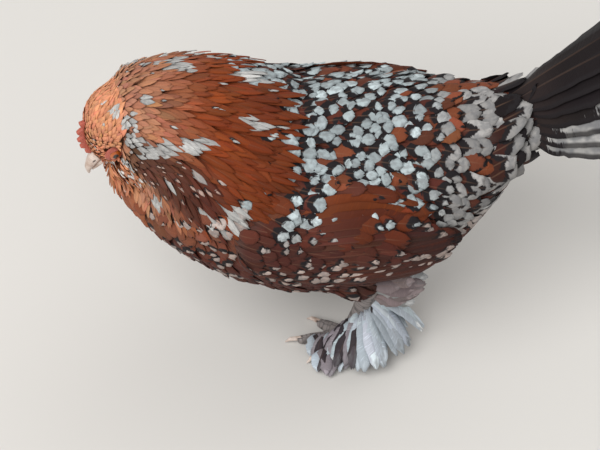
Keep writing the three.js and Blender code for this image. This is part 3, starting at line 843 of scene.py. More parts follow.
# Grey of the painted shade between the barbs of a pale tip.
TIP_BARB_SHADE = linear(96, 98, 102)
SHAFT = linear(138, 106, 84)
HORN_CLOUD = linear(176, 150, 134)
HORN_LINE = linear(120, 96, 84)
NOSTRIL_SHADE = linear(58, 38, 32)
COMB_GRAIN = linear(214, 120, 104)
EYE_RIM = linear(44, 26, 20)
PUPIL = (0.004, 0.003, 0.003)
BOOT_LILAC = linear(158, 149, 155)
BOOT_DARK = linear(66, 58, 62)
PUPIL_REACH = (0.00145, 0.0017)
IRIS_REACH = (0.0027, 0.0035)
NOSTRIL_PLACE = (3.8, 25.6, 2.7)
NOSTRIL_REACH = (1.8, 1.35, 0.5)


class Nodes:
    """Writes a material's nodes in the order that they are read."""

    def __init__(self, name):
        self.material = bpy.data.materials.new(name)
        self.material.use_nodes = True
        self.tree = self.material.node_tree
        self.shader = self.tree.nodes["Principled BSDF"]

    def add(self, kind, inputs=None, **settings):
        node = self.tree.nodes.new(kind)
        for key, value in settings.items():
            setattr(node, key, value)
        for key, value in (inputs or {}).items():
            self.feed(node.inputs[key], value)
        return node

    def feed(self, socket, value):
        if isinstance(value, bpy.types.NodeSocket):
            self.tree.links.new(value, socket)
        else:
            socket.default_value = value

    def math(self, operation, *values):
        node = self.add("ShaderNodeMath", operation=operation)
        for socket, value in zip(node.inputs, values):
            self.feed(socket, value)
        return node.outputs[0]

    def plus(self, first, second):
        return self.math("ADD", first, second)

    def minus(self, first, second):
        return self.math("SUBTRACT", first, second)

    def times(self, first, second):
        return self.math("MULTIPLY", first, second)

    def inverse(self, share):
        return self.minus(1.0, share)

    def step(self, value, low, high):
        """0 below low, 1 above high, smooth between."""
        node = self.add("ShaderNodeMapRange", interpolation_type="SMOOTHSTEP")
        for key, item in (("Value", value), ("From Min", low), ("From Max", high)):
            self.feed(node.inputs[key], item)
        return node.outputs[0]

    def mix(self, share, first, second):
        node = self.add("ShaderNodeMix", data_type="RGBA")
        for key, item in (("Factor", share), (6, first), (7, second)):
            self.feed(node.inputs[key], item)
        return node.outputs[2]

    def vector(self, x, y, z):
        return self.add("ShaderNodeCombineXYZ", {"X": x, "Y": y, "Z": z}).outputs[0]

    def vector_math(self, operation, *values):
        node = self.add("ShaderNodeVectorMath", dict(enumerate(values)), operation=operation)
        return node.outputs["Vector" if operation == "SUBTRACT" else "Value"]

    def place(self):
        return self.add("ShaderNodeTexCoord").outputs["Object"]

    def attribute(self, name):
        return self.add("ShaderNodeAttribute", attribute_name=name).outputs

    def noise(self, scale, detail, where=None):
        where = where or self.place()
        return self.add("ShaderNodeTexNoise", {"Vector": where, "Scale": scale, "Detail": detail}).outputs[0]

    def set(self, **values):
        for key, value in values.items():
            self.feed(self.shader.inputs[key.replace("_", " ")], value)

    def bump(self, height, strength, distance):
        node = self.add("ShaderNodeBump", {"Height": height, "Strength": strength, "Distance": distance})
        self.set(Normal=node.outputs[0])


def plain(colour, strength=1.0):
    return (*(c * strength for c in colour), 1)


def vane_material(
    name,
    barbs=34,
    gloss=0.6,
    stripe=0.0,
    fuzz=0.07,
    barb_shade=0.45,
    mottle_and_shade=0.35,
    down=0.5,
    rib=0.25,
    rim=0.0,
    bow=0.14,
    margin_shade=0.0,
):
    """Feather vane: ground, a black bar and a pale tip along its length, a shaft, and fine slanting barbs.

    barbs: how many along it. gloss: lowest roughness. stripe, streak, mottle, down, rib: how strongly the dark
    middle, the painted shade in streaks between the barbs, the pale tip's grey clouds (partly mottling, partly
    painted shade), the root's down and the shaft show. fuzz: how ragged the markings are.
    rim: how wide the markings are that follow the round end, or 0 for ones that cross the vane, and bow: how far
    those bend back at the sides. margin: where the dark sides start, or 0 for none; they are partly the feather's
    own dark edges and partly painted shadow between feathers.
    """
    colours = bpy.context.scene.hen_colours
    black_bar = plain(colours.bar)
    n = Nodes(name)
    a, s, seed = n.add("ShaderNodeSeparateXYZ", {"Vector": n.attribute("vane")["Vector"]}).outputs
    ground, tip = n.attribute("ground"), n.attribute("tip")
    white_share, bar_share = ground["Alpha"], tip["Alpha"]
    aside = n.math("ABSOLUTE", a)
    barb = n.plus(n.times(s, barbs), n.times(aside, -3.2))
    grain = n.noise(0.9, 3, n.vector(barb, n.times(a, 0.7), n.times(seed, 57)))
    cloud = n.noise(1, 2, n.vector(n.times(s, 7), n.times(a, 1.6), n.times(seed, 31)))
    ragged = n.times(n.minus(n.plus(grain, cloud), 1.0), fuzz * 2)

    # how far inside the tip a point lies: from the end, or from the rim of the rounded part
    from_end = n.inverse(s)
    if rim:
        past_round = n.math("MAXIMUM", n.minus(0.74, s), 0.0)
        inside = n.math("MINIMUM", from_end, n.plus(n.times(n.inverse(aside), rim), past_round))
    else:
        inside = n.plus(from_end, n.times(n.times(a, a), bow))
    reach = n.plus(inside, ragged)
    white = n.inverse(n.step(reach, n.minus(white_share, 0.025), n.plus(white_share, 0.025)))
    white = n.times(white, n.step(white_share, 0.0, 0.05))
    edge = n.plus(white_share, bar_share)
    black = n.inverse(n.step(reach, n.minus(edge, 0.02), n.plus(edge, 0.03)))
    black = n.times(black, n.step(bar_share, 0.0, 0.04))

    # Painted shade in streaks between the barbs: the ground darkens towards the bar's colour along the grain, and
    # stays plain where it is lit.
    shade = n.mix(n.times(grain, barb_shade), ground["Color"], plain(colours.bar, 0.6))
    lit = n.mix(n.step(grain, 0.52, 0.7), shade, ground["Color"])
    fluff = n.mix(down, ground["Color"], plain(DOWN))
    body = n.mix(n.step(s, 0.12, 0.5), fluff, lit)
    if stripe:
        middle = n.times(n.inverse(n.step(aside, 0.1, 0.5)), n.step(s, 0.35, 0.7))
        body = n.mix(n.times(middle, stripe), body, plain(colours.bar, 1.4))
    body = n.mix(black, body, black_bar)
    # The pale tip greys in clouds, partly mottling and partly painted shade on the white.
    soft = n.mix(n.times(n.step(cloud, 0.35, 0.65), mottle_and_shade), tip["Color"], plain(TIP_MOTTLE_SHADE))
    # Painted shade between the barbs of the pale tip, in grey.
    soft = n.mix(n.times(grain, 0.22), soft, plain(TIP_BARB_SHADE))
    body = n.mix(white, body, soft)
    # Dark sides: partly the feather's own dark edges, partly painted shadow where the next feather lies over it.
    if margin_shade:
        body = n.mix(n.times(n.step(aside, margin_shade, margin_shade + 0.16), 0.85), body, black_bar)
    shaft = n.times(n.inverse(n.step(aside, 0.03, 0.09)), n.inverse(n.step(s, 0.5, 0.95)))
    body = n.mix(n.times(shaft, rib), body, plain(SHAFT))
    rough = n.plus(gloss, n.times(grain, 0.25))
    n.set(Base_Color=body, Roughness=rough, Specular_IOR_Level=0.16, Sheen_Weight=0.02, Sheen_Roughness=0.4)
    ridges = n.math("SINE", n.times(barb, 2 * math.pi))
    n.bump(n.plus(n.times(ridges, 0.35), grain), 0.35, 0.0004)
    return n.material


def plumage_material():
    """The vanes of the body and wing, made once."""
    name = "hen_plumage"
    return bpy.data.materials.get(name) or vane_material(name, fuzz=0.08, mottle_and_shade=0.5, bow=0.2)


def skin_material():
    """Skin: the coat's colours in short down, under the feathers, and plates of horn on the bare shanks and toes."""
    colours = bpy.context.scene.hen_colours
    n = Nodes("hen_skin")
    ground = n.attribute("ground")
    bare = ground["Alpha"]
    patches = n.noise(260, 4)
    down = n.mix(n.times(patches, 0.7), ground["Color"], plain(colours.bar))
    plates = {"Vector": n.attribute("scute")["Vector"], "Scale": 1, "Randomness": 0.55}
    cells = n.add("ShaderNodeTexVoronoi", plates, feature="DISTANCE_TO_EDGE")
    groove = n.step(cells.outputs["Distance"], 0.01, 0.11)
    tint = n.mix(n.noise(140, 3), plain(colours.scale, 0.62), plain(colours.scale))
    scale = n.mix(groove, plain(colours.scale, 0.35), tint)
    n.set(Base_Color=n.mix(bare, down, scale), Roughness=n.minus(0.85, n.times(bare, 0.35)))
    n.bump(n.mix(bare, patches, groove), 0.5, 0.0006)
    return n.material


def horn_material():
    """Pale horn, with fine growth lines, and the slits of the nostrils where the beak is, painted dark as the shade
    inside them.
    """
    colours = bpy.context.scene.hen_colours
    n = Nodes("hen_horn")
    cloud = n.noise(160, 4)
    place = n.place()
    bands = {"Vector": place, "Scale": 260, "Distortion": 5, "Detail": 3}
    lines = n.add("ShaderNodeTexWave", bands, bands_direction="Z").outputs["Fac"]
    tone = n.mix(n.step(cloud, 0.35, 0.7), plain(colours.horn), plain(HORN_CLOUD))
    tone = n.mix(n.times(lines, 0.16), tone, plain(HORN_LINE))
    slit = 0.0
    for sign in SIDES.values():
        across, forward, up = NOSTRIL_PLACE
        moved = n.vector_math("SUBTRACT", place, tuple(in_head(sign * across, forward, up)))
        away = 0.0
        for axis, reach in zip((HEAD_LEFT, HEAD_FORWARD, HEAD_UP), NOSTRIL_REACH):
            part = n.math("DIVIDE", n.vector_math("DOT_PRODUCT", moved, tuple(axis)), reach * MM)
            away = n.plus(away, n.times(part, part))
        slit = n.math("MAXIMUM", slit, n.inverse(n.step(away, 0.5, 1.2)))
    # Painted shade inside the nostrils: their slits are darkened on the horn.
    tone = n.mix(n.times(slit, 0.88), tone, plain(NOSTRIL_SHADE))
    n.set(Base_Color=tone, Roughness=n.plus(0.28, n.times(cloud, 0.2)), Specular_IOR_Level=0.5)
    n.bump(n.minus(n.times(lines, 0.3), slit), 0.4, 0.0003)
    return n.material


def comb_material():
    """Soft bare skin, coral, with a fine pebbled grain, made once."""
    if "hen_comb" in bpy.data.materials:
        return bpy.data.materials["hen_comb"]
    colours = bpy.context.scene.hen_colours
    n = Nodes("hen_comb")
    pebbles = n.add("ShaderNodeTexVoronoi", {"Scale": 1500, "Vector": n.place()}).outputs["Distance"]
    cloud = n.noise(300, 3)
    tone = n.mix(cloud, plain(colours.comb), plain(colours.comb, 0.55))
    tone = n.mix(n.times(pebbles, 0.5), tone, plain(COMB_GRAIN))
    n.set(Base_Color=tone, Roughness=n.plus(0.42, n.times(cloud, 0.2)), Subsurface_Weight=0.1)
    n.bump(pebbles, 0.4, 0.0003)
    return n.material


def eye_material(side):
    """A wet eye: a black pupil, an orange iris with fine spokes, and a dark rim."""
    colours = bpy.context.scene.hen_colours
    n = Nodes(f"hen_eye_{side}")
    moved = n.vector_math("SUBTRACT", n.place(), tuple(EYES[side]))
    depth = n.vector_math("DOT_PRODUCT", moved, tuple(HEAD_LEFT * SIDES[side]))
    size = n.vector_math("LENGTH", moved)
    from_axis = n.math("SQRT", n.minus(n.times(size, size), n.times(depth, depth)))
    iris = n.mix(n.noise(2600, 4), plain(colours.iris, 0.5), plain(colours.iris, 1.5))
    tone = n.mix(n.step(from_axis, *IRIS_REACH), iris, plain(EYE_RIM))
    tone = n.mix(n.inverse(n.step(from_axis, *PUPIL_REACH)), tone, plain(PUPIL))
    n.set(Base_Color=tone, Roughness=0.06, Specular_IOR_Level=0.6, Coat_Weight=0.6, Coat_Roughness=0.03)
    return n.material


def floor_material(colour):
    n = Nodes("stage_floor")
    n.set(Base_Color=plain(colour), Roughness=0.9)
    return n.material


# ------------------------------------------------------------------ operators
# where the columns of a vane's points lie, from its left edge to its right one
BODY_COLUMNS = (-1, -0.7, -0.3, 0, 0.3, 0.7, 1)
SLIM_COLUMNS = (-1, -0.5, 0, 0.5, 1)
FACE_COLUMNS = (-1, 0, 1)
QUILL_COLUMNS = (-1, -0.6, -0.25, -0.07, 0.07, 0.25, 0.6, 1)
TAIL_COLUMNS = (-1, -0.62, -0.25, -0.06, 0.06, 0.25, 0.62, 1)
TAIL_NAMES = [f"tail_{k}_{side}" for k in range(1, 8) for side in SIDES]
# the wing's two rows of quills: how many; roots and tips as (y, z) in millimetres, from the highest quill to the
# lowest; how far out they lie; their place and their patch's length on the bake's map
PRIMARIES = (6, ((-16, 108), (-18, 92)), ((55, 107), (55, 103), (52, 97)), -2.2, 0.84, 0.26)
SECONDARIES = (
    13,
    ((-28, 129), (-24, 110), (-18, 84)),
    ((26, 134), (42, 125), (52, 114), (51, 101), (40, 88)),
    0.2,
    0.3,
    0.5,
)
# layers of the foot's fan and of the hock: how many feathers, how long, and how high above the first layer; and the
# share of pale feathers in each layer of the fan
FAN_LAYERS = ((17, 1.0, 0.0), (15, 0.84, 2.0), (12, 0.66, 4.0), (9, 0.46, 5.5))
HOCK_LAYERS = ((9, 1.0, 0.0), (8, 0.8, 1.5), (6, 0.6, 3.0))
FAN_PALE = (0.9, 0.84, 0.75, 0.5)
# how thick each kind of feather is at its root
THICKNESS = {
    "body": 0.00042,
    "covert": 0.00045,
    "hackle": 0.00032,
    "face": 0.00022,
    "muff": 0.00028,
    "wing": 0.0004,
    "quill": 0.0005,
    "tail": 0.0006,
    "boot": 0.00042,
    "toe": 0.0004,
}
COVERT_SPACING = 0.0058
COVERT_WIDTH = 0.0125
HEAD_REACH = 0.052
BEAK_REACH = 0.0062
QUILL_ROOT_DEPTH = 0.0016
HOCK_WIDTH = 0.0078
TOE_WIDTH = 0.0056
EYE_RADIUS = 0.0041
LID_RADIUS = 0.0045
LID_LIFT = 0.0006
PLATE_LENGTH = 0.0023


class Piece(bpy.types.Operator):
    """Common ground of the operators that make the hen."""

    bl_options = {"REGISTER", "UNDO"}


class SetStage(bpy.types.Operator):
    """Pale floor, soft lamps and the camera"""

    bl_idname = "hen.set_stage"
    bl_label = "Set the stage"

    def execute(self, context):
        stage = context.scene.hen_stage
        deselect()
        bpy.ops.mesh.primitive_plane_add(size=14, location=(0, 0, 0))
        floor = name_it(context.view_layer.objects.active, "floor")
        floor.data.materials.append(floor_material(stage.floor))
        around, up = stage.azimuth, stage.elevation
        way = Vector((math.sin(around) * math.cos(up), -math.cos(around) * math.cos(up), math.sin(up)))
        bpy.ops.object.camera_add(location=Vector(stage.target) + way * stage.distance)
        camera = context.view_layer.objects.active
        camera.rotation_euler = (-way).to_track_quat("-Z", "Y").to_euler()
        camera.data.sensor_width = 36
        camera.data.lens = 36 * stage.distance / stage.view_width
        camera.data.clip_start = 0.01
        context.scene.camera = camera
        self.add_lamp("key", (0.9, -0.7, 1.5), 1.3, stage.key)
        self.add_lamp("fill", (-1.1, 0.9, 1.2), 1.6, stage.fill)
        world = bpy.data.worlds.new("soft sky")
        world.use_nodes = True
        sky = world.node_tree.nodes["Background"]
        sky.inputs["Color"].default_value = (1, 1, 1, 1)
        sky.inputs["Strength"].default_value = stage.sky
        context.scene.world = world
        context.scene.view_settings.view_transform = "Standard"
        return {"FINISHED"}

    def add_lamp(self, name, place, size, power):
        """A square lamp that points at the hen."""
        bpy.ops.object.light_add(type="AREA", location=place)
        lamp = bpy.context.view_layer.objects.active
        lamp.name = name
        lamp.data.size = size
        lamp.data.energy = power
        lamp.rotation_euler = (Vector((0, 0, 0.08)) - lamp.location).to_track_quat("-Z", "Y").to_euler()


class GrowSkin(Piece):
    """One seamless skin under the coat, and the forms that the feathers lie along"""

    bl_idname = "hen.grow_skin"
    bl_label = "Grow the skin"

    def execute(self, context):
        sizes = context.scene.hen_sizes
        made["labels"] = Labels(BODY)
        wings = {f"wing_{side}": [f"{part}_{side}" for part in WING] for side in SIDES}
        made["body"] = smooth_form(BODY, 14)
        for name, nodes in wings.items():
            made[name] = smooth_form(nodes, 6)
        made["whole"] = smooth_form(BODY + wings["wing_left"] + wings["wing_right"], 20)

        skin = closed_form("skin", FLESH, swell=0.0004)
        points = points_of(skin.data)
        labels = Labels(FLESH).at(points)
        bare = on_parts(labels, "shank", "foot")
        depth = sizes.coat_depth + (sizes.hackle_depth - sizes.coat_depth) * hackle_zone(points)
        for share, part in ((0.8, "muff"), (0.8, "beard"), (0.6, "wing"), (0.7, "thigh"), (0, "shank"), (0, "foot")):
            depth[on_parts(labels, part)] = sizes.coat_depth * share
        depth[labels == "head"] = sizes.face_depth
        most = max(sizes.coat_depth, sizes.hackle_depth)
        self.weigh(skin, "deep", np.round(depth / most, 2))
        self.weigh(skin, "soft", np.where(bare, 0.25, 1))
        modify(skin, "SMOOTH", factor=0.5, iterations=12, vertex_group="soft")
        modify(skin, "DISPLACE", strength=-most, mid_level=0, direction="NORMAL", vertex_group="deep")
        modify(skin, "SMOOTH", factor=0.5, iterations=8, vertex_group="soft")
        skin.vertex_groups.clear()
        points = points_of(skin.data)
        points[:, 2] = np.maximum(points[:, 2], 0)
        move_points(skin.data, points)
        made["skin"] = skin
        made["bare"] = bare
        skin.data.materials.append(skin_material())
        settle(skin, "leg", *FLESH)
        return {"FINISHED"}

    def weigh(self, piece, name, shares):
        """A vertex group with a weight for each point."""
        group = piece.vertex_groups.new(name=name)
        for share in np.unique(shares):
            group.add(np.flatnonzero(shares == share).tolist(), float(share), "REPLACE")


class FeatherBody(Piece):
    """Round feathers of the breast, belly, back, rump and thighs"""

    bl_idname = "hen.feather_body"
    bl_label = "Feather the body"

    def execute(self, context):
        sizes = context.scene.hen_sizes
        rng = np.random.default_rng(11)

        def spacing(p):
            _, y, z = p.T / MM
            return sizes.back_spacing * (0.85 + 0.15 * smooth(z, 60, 120) + 0.35 * smooth(y, 30, 60))

        outside_hackle = lambda p: hackle_zone(p) < 0.5
        places, normals, labels = sprout(spacing, rng, outside_hackle, "trunk", "neck", "rump", "thigh")
        mm = places / MM
        _, y, z = mm.T
        saddle = smooth(y, 30, 80)
        front = smooth(-y, 40, 90)
        leg = on_parts(labels, "thigh")
        length = sizes.back_length * (1 + 0.45 * saddle - 0.2 * front) * rng.uniform(0.86, 1.14, len(mm))
        length[leg] *= 0.9
        width = sizes.back_spacing * (2 + 0.75 * saddle - 0.3 * front) * rng.uniform(0.82, 1.15, len(mm))
        depth = sizes.coat_depth * 1.1 * np.where(leg, 0.7, 1)
        line, facing = over_form(made["body"], places, normals, labels, length, depth, 0.0006, rng)
        shown = shown_part(line)
        ground, spangle, white, bar = body_look(shown, facing[1], rng)
        # Painted shade: the thighs, low under the body, are darkened further.
        ground[leg] *= 0.85
        feathers = line, facing, width, look_of(ground, spangle, white, bar, rng)
        made["roots"] = [(shown, ground)]

        behind = y + 7 * drift(mm, 9, 21) > 34
        on_saddle = (z > 96) & behind
        saddle_material = vane_material("hen_saddle", fuzz=0.07, mottle_and_shade=0.6, rim=0.24)
        kind = Vane(BODY_COLUMNS, 8, round_tip)
        for name, mine, material in (
            ("coat_saddle", on_saddle, saddle_material),
            ("coat_back", (z > 118) & ~behind, plumage_material()),
            ("coat_breast", (z <= 118) & (y < -22), plumage_material()),
            ("coat_flank", (z <= 118) & (y >= -22) & ~on_saddle, plumage_material()),
        ):
            lay_coat(
                name, rng, kind, those(mine, feathers), THICKNESS["body"], round_the_body(places[mine]), material,
                camber=0.18, ragged=0.08,
            )
        self.cover_tail(rng, sizes, saddle_material)
        return {"FINISHED"}

    def cover_tail(self, rng, sizes, material):
        """Longer feathers from the rump, which run on over the tail's base."""
        form = made["body"]
        on_rump = lambda p: (p[:, 1] > 0.062) & (p[:, 2] > 0.126)
        places, normals = form.scatter(COVERT_SPACING, rng, on_rump)
        across = places[:, :1] / 0.024
        tail = unit(np.array([0, 0.7, 0.7]) + across * [0.06, 0, -0.12])
        length = rng.uniform(0.026, 0.034, (len(places), 1)) * (1 - 0.2 * np.abs(across))
        along = along_surface(tail, normals)
        middle, _ = form.nearest(places + along * length * 0.45)
        middle = middle + normals * 0.001
        tip = middle + unit(along * 0.6 + tail) * length * 0.55
        up = unit(normals - (normals * tail).sum(1, keepdims=True) * tail + np.array([0, -0.4, 0.4]))
        line = [places - normals * sizes.coat_depth * 0.8, middle, tip]
        look = look_of(*covert_look(shown_part(line), rng), rng)
        made["roots"].append((places, look[0][:, :3]))
        feathers = line, (normals, up), COVERT_WIDTH * rng.uniform(0.85, 1.1, len(places)), look
        lay_coat(
            "coat_tail_coverts", rng, Vane(SLIM_COLUMNS, 8, round_tip), feathers, THICKNESS["covert"],
            round_the_body(places), material, camber=0.2, ragged=0.08, patch=(0.02, 0.03),
        )


class FeatherNeck(Piece):
    """The full silky hackle"""

    bl_idname = "hen.feather_neck"
    bl_label = "Feather the neck"

    def execute(self, context):
        sizes = context.scene.hen_sizes
        rng = np.random.default_rng(23)
        spacing = lambda p: sizes.hackle_spacing * (0.75 + 0.25 * smooth(p[:, 1] / MM, -115, -85))
        inside_hackle = lambda p: hackle_zone(p) >= 0.4
        found = sprout(spacing, rng, inside_hackle, "trunk", "neck")
        x, y, _ = found[0].T / MM
        lower = smooth(y, -118, -66)
        first = 1 - smooth(y, -124, -108)
        length = sizes.hackle_length * (0.42 + 0.58 * lower - 0.2 * first) * rng.uniform(0.85, 1.12, len(y))
        width = sizes.hackle_spacing * (1.3 + 0.6 * lower) * rng.uniform(0.8, 1.15, len(y))
        depth = sizes.hackle_depth * (0.55 + 0.45 * lower)
        lift = 0.0007 + 0.0015 * smooth(y, -84, -62)
        paint = lambda shown, _: hackle_look(shown, rng)
        feathers = grown(made["body"], found, length, width, depth, lift, rng, paint, spread=0.1, sway=0.1)
        material = vane_material("hen_hackle", barbs=44, stripe=0.12, barb_shade=0.25, fuzz=0.1, down=0.3)
        kind = Vane(SLIM_COLUMNS, 9, long_tip)
        for side, mine in (("left", x >= 0), ("right", x < 0)):
            lay_coat(
                f"coat_hackle_{side}", rng, kind, those(mine, feathers), THICKNESS["hackle"],
                round_the_body(found[0][mine]), material, slot="hackle", camber=0.16, ragged=0.08, twist=0.1,
            )
        return {"FINISHED"}


class FeatherHead(Piece):
    """Small close feathers of the crown and cheeks, and the fuller ones of the muffs and beard"""

    bl_idname = "hen.feather_head"
    bl_label = "Feather the head"

    def execute(self, context):
        sizes = context.scene.hen_sizes
        rng = np.random.default_rng(37)
        kind = Vane(FACE_COLUMNS, 5, long_tip)
        material = vane_material("hen_face", barbs=16, fuzz=0.08, barb_shade=0.14, mottle_and_shade=0.2, down=0.1)
        self.cap(rng, kind, material, sizes)
        self.puff(rng, kind, material, sizes)
        return {"FINISHED"}

    def grow(self, rng, spacing, clear, *parts):
        """Where the face's feathers grow: near the head, and clear of the eyes."""
        near_head = lambda p: distance(p, SKULL) < HEAD_REACH
        found = sprout(spacing, rng, near_head, *parts)
        mine = np.minimum(*(distance(found[0], EYES[side]) for side in SIDES)) > clear
        return [values[mine] for values in found]

    def cap(self, rng, kind, material, sizes):
        """Crown and cheeks, with pale flecks on the cheeks."""
        found = self.grow(rng, sizes.face_spacing, 0.0056, "head")
        behind_beak = distance(found[0], in_head(0, 18, 0)) >= BEAK_REACH
        found = [values[behind_beak] for values in found]
        count = len(found[0])
        fore = smooth((found[0] - SKULL) @ HEAD_FORWARD / MM, -6, 18)
        length = sizes.face_length * (1.1 - 0.5 * fore) * rng.uniform(0.8, 1.2, count)
        width = sizes.face_spacing * (1.8 - 0.2 * fore) * rng.uniform(0.8, 1.15, count)
        depth = sizes.face_depth * (0.95 - 0.3 * fore)
        paint = lambda shown, _: face_look(shown, rng)
        feathers = grown(made["body"], found, length, width, depth, 0.0002, rng, paint, spread=0.1)
        lay_coat(
            "coat_head", rng, kind, feathers, THICKNESS["face"], round_the_head(found[0]), material,
            camber=0.08, twist=0.06,
        )

    def puff(self, rng, kind, material, sizes):
        """Muffs and beard, with pale tufts at the chin."""
        found = self.grow(rng, sizes.face_spacing * 1.2, 0.0055, "muff", "beard")
        count = len(found[0])
        length = sizes.face_length * rng.uniform(1.1, 1.5, count)
        width = sizes.face_spacing * 2.3 * rng.uniform(0.85, 1.15, count)
        depth = sizes.coat_depth * 0.7
        paint = lambda shown, _: muff_look(shown, rng)
        feathers = grown(made["body"], found, length, width, depth, 0.0008, rng, paint, spread=0.14, sway=0.12)
        unwrapped = round_the_head(found[0])
        lay_coat("coat_muffs", rng, kind, feathers, THICKNESS["muff"], unwrapped, material, camber=0.2)


class FeatherWings(Piece):
    """Coverts, wing bay and flight quills"""

    bl_idname = "hen.feather_wings"
    bl_label = "Feather the wings"

    def execute(self, context):
        sizes = context.scene.hen_sizes
        material = vane_material(
            "hen_quill", barbs=60, gloss=0.66, stripe=0.5, fuzz=0.06, barb_shade=0.6, down=0.2, rib=0.1
        )
        for side, sign in SIDES.items():
            self.cover(side, sign, sizes)
            self.quill(side, sign, sizes, material)
            self.bridge(side, sign, sizes)
        return {"FINISHED"}

    def cover(self, side, sign, sizes):
        """Coverts over the wing's front and upper part."""
        rng = np.random.default_rng(41 + sign)
        form = made[f"wing_{side}"]

        def rooted(p):
            _, y, z = p.T / MM
            edge = np.interp(z, [80, 88, 96, 104, 112, 122, 128, 134], [32, 28, 20, 6, -2, 4, 10, 16])
            return (y < edge) & (p[:, 0] * sign > 0.030)

        places, normals = form.scatter(sizes.back_spacing * 0.92, rng, rooted)
        keep = normals[:, 0] * sign > 0.05
        places, normals = places[keep], normals[keep]
        x, y, z = places.T / MM
        count = len(x)
        rear = smooth(y, -50, -20)
        lower = 1 - smooth(z, 94, 108)
        bow = smooth(y, -26, -12) * (1 - lower)
        scale = 0.78 + 0.3 * rear + 0.12 * lower + 0.25 * bow
        length = sizes.back_length * scale * rng.uniform(0.9, 1.12, count)
        width = sizes.back_spacing * (1.75 + 0.25 * rear - 0.45 * lower) * rng.uniform(0.85, 1.1, count)
        depth = sizes.coat_depth * 0.62
        lift = 0.0006 + 0.0016 * bow
        found = places, normals, np.full(count, "wing")
        paint = lambda shown, _: wing_look(shown, smooth(z, 122, 128), lower, rng)
        feathers = grown(form, found, length, width, depth, lift, rng, paint, sway=0.05)
        lay_coat(
            f"coat_wing_{side}", rng, Vane(BODY_COLUMNS, 8, round_tip), feathers, THICKNESS["wing"],
            (z + x * sign * 0.3, y), plumage_material(), camber=0.18, ragged=0.08, twist=0.08,
        )

    def bridge(self, side, sign, sizes):
        """Shoulder feathers that run over the wing's top edge and bind it to the back."""
        rng = np.random.default_rng(61 + sign)
        form = made["whole"]

        def rooted(p):
            x, y, z = p.T / MM
            edge = np.interp(y, [-66, -56, -29, 12, 38], [118, 130, 137, 137, 126])
            under = np.interp(y, [-56, -10, 0], [7, 5, 1])
            return (x * sign > 22) & (y > -54) & (y < 30) & (z > edge - under) & (z < edge + 9)

        places, normals = form.scatter(sizes.back_spacing * 0.95, rng, rooted)
        count = len(places)
        length = sizes.back_length * rng.uniform(0.9, 1.15, count)
        width = sizes.back_spacing * 1.95 * rng.uniform(0.85, 1.1, count)
        found = places, normals, np.full(count, "trunk")
        paint = lambda shown, up: body_look(shown, up, rng)
        feathers = grown(form, found, length, width, sizes.coat_depth * 0.5, 0.0016, rng, paint)
        lay_coat(
            f"coat_shoulder_{side}", rng, Vane(BODY_COLUMNS, 8, round_tip), feathers, THICKNESS["wing"],
            round_the_body(places), plumage_material(), camber=0.18, ragged=0.08,
        )

    def on_wing(self, form, sign, y, z):
        """Where a line from the side meets the wing's outer face."""
        spots = np.empty((len(y), 3))
        for i, (here_y, here_z) in enumerate(zip(y * MM, z * MM)):
            spot = form.tree.ray_cast(Vector((sign * 0.2, here_y, here_z)), Vector((-sign, 0, 0)))[0]
            spots[i] = spot or form.tree.find_nearest((sign * 0.06, here_y, here_z))[0]
        spots, normals = form.nearest(spots)
        return spots, unit(normals * 0.4 + np.array([sign, 0, 0.12]))

    def quill(self, side, sign, sizes, material):
        """Flight feathers: the primaries' tips under the secondaries."""
        rng = np.random.default_rng(53 + sign)
        form = made[f"wing_{side}"]
        coat = Coat(f"quills_{side}", rng)
        kind = Vane(QUILL_COLUMNS, 16, quill_tip, shaft=1.6)
        red, rust, pale = palette("breast", "hackle", "breast_spangle")
        for count, roots, tips, out, row, patch in (PRIMARIES, SECONDARIES):
            t = np.linspace(0, 1, count)
            root_yz, tip_yz = (
                [np.interp(t, np.linspace(0, 1, len(points)), column) for column in zip(*points)]
                for points in (roots, tips)
            )
            root, _ = self.on_wing(form, sign, *root_yz)
            tip, tip_up = self.on_wing(form, sign, *tip_yz)
            middle_y, middle_z = ((a + b) / 2 for a, b in zip(root_yz, tip_yz))
            middle, middle_up = self.on_wing(form, sign, middle_y, middle_z + 1.5)
            level = ((1 - t) * 0.9 + out)[:, None] * MM
            root = root + middle_up * (level - QUILL_ROOT_DEPTH)
            line = [root, middle + middle_up * level, tip + tip_up * level]
            ground, white = red * 0.34, np.zeros(count)
            if out > 0:
                ground = blend(rust * 0.58, red * 0.48, smooth(t, 0.04, 0.34))
                white = np.where(rng.random(count) < 0.4, 0.055, 0)
            look = look_of(ground, pale, white, 0.04, rng, 0.2)
            spots = (np.linspace(0.04, 0.96, count), np.full(count, row))
            feathers = line, (middle_up, tip_up), sizes.quill_width, look
            coat.lay(
                kind, feathers, THICKNESS["quill"], spots, camber=0.24, ragged=0.04, twist=0.05, patch=(0.05, patch)
            )
        coat.finish(material, "quill", f"secondaries_{side}", f"primaries_{side}")


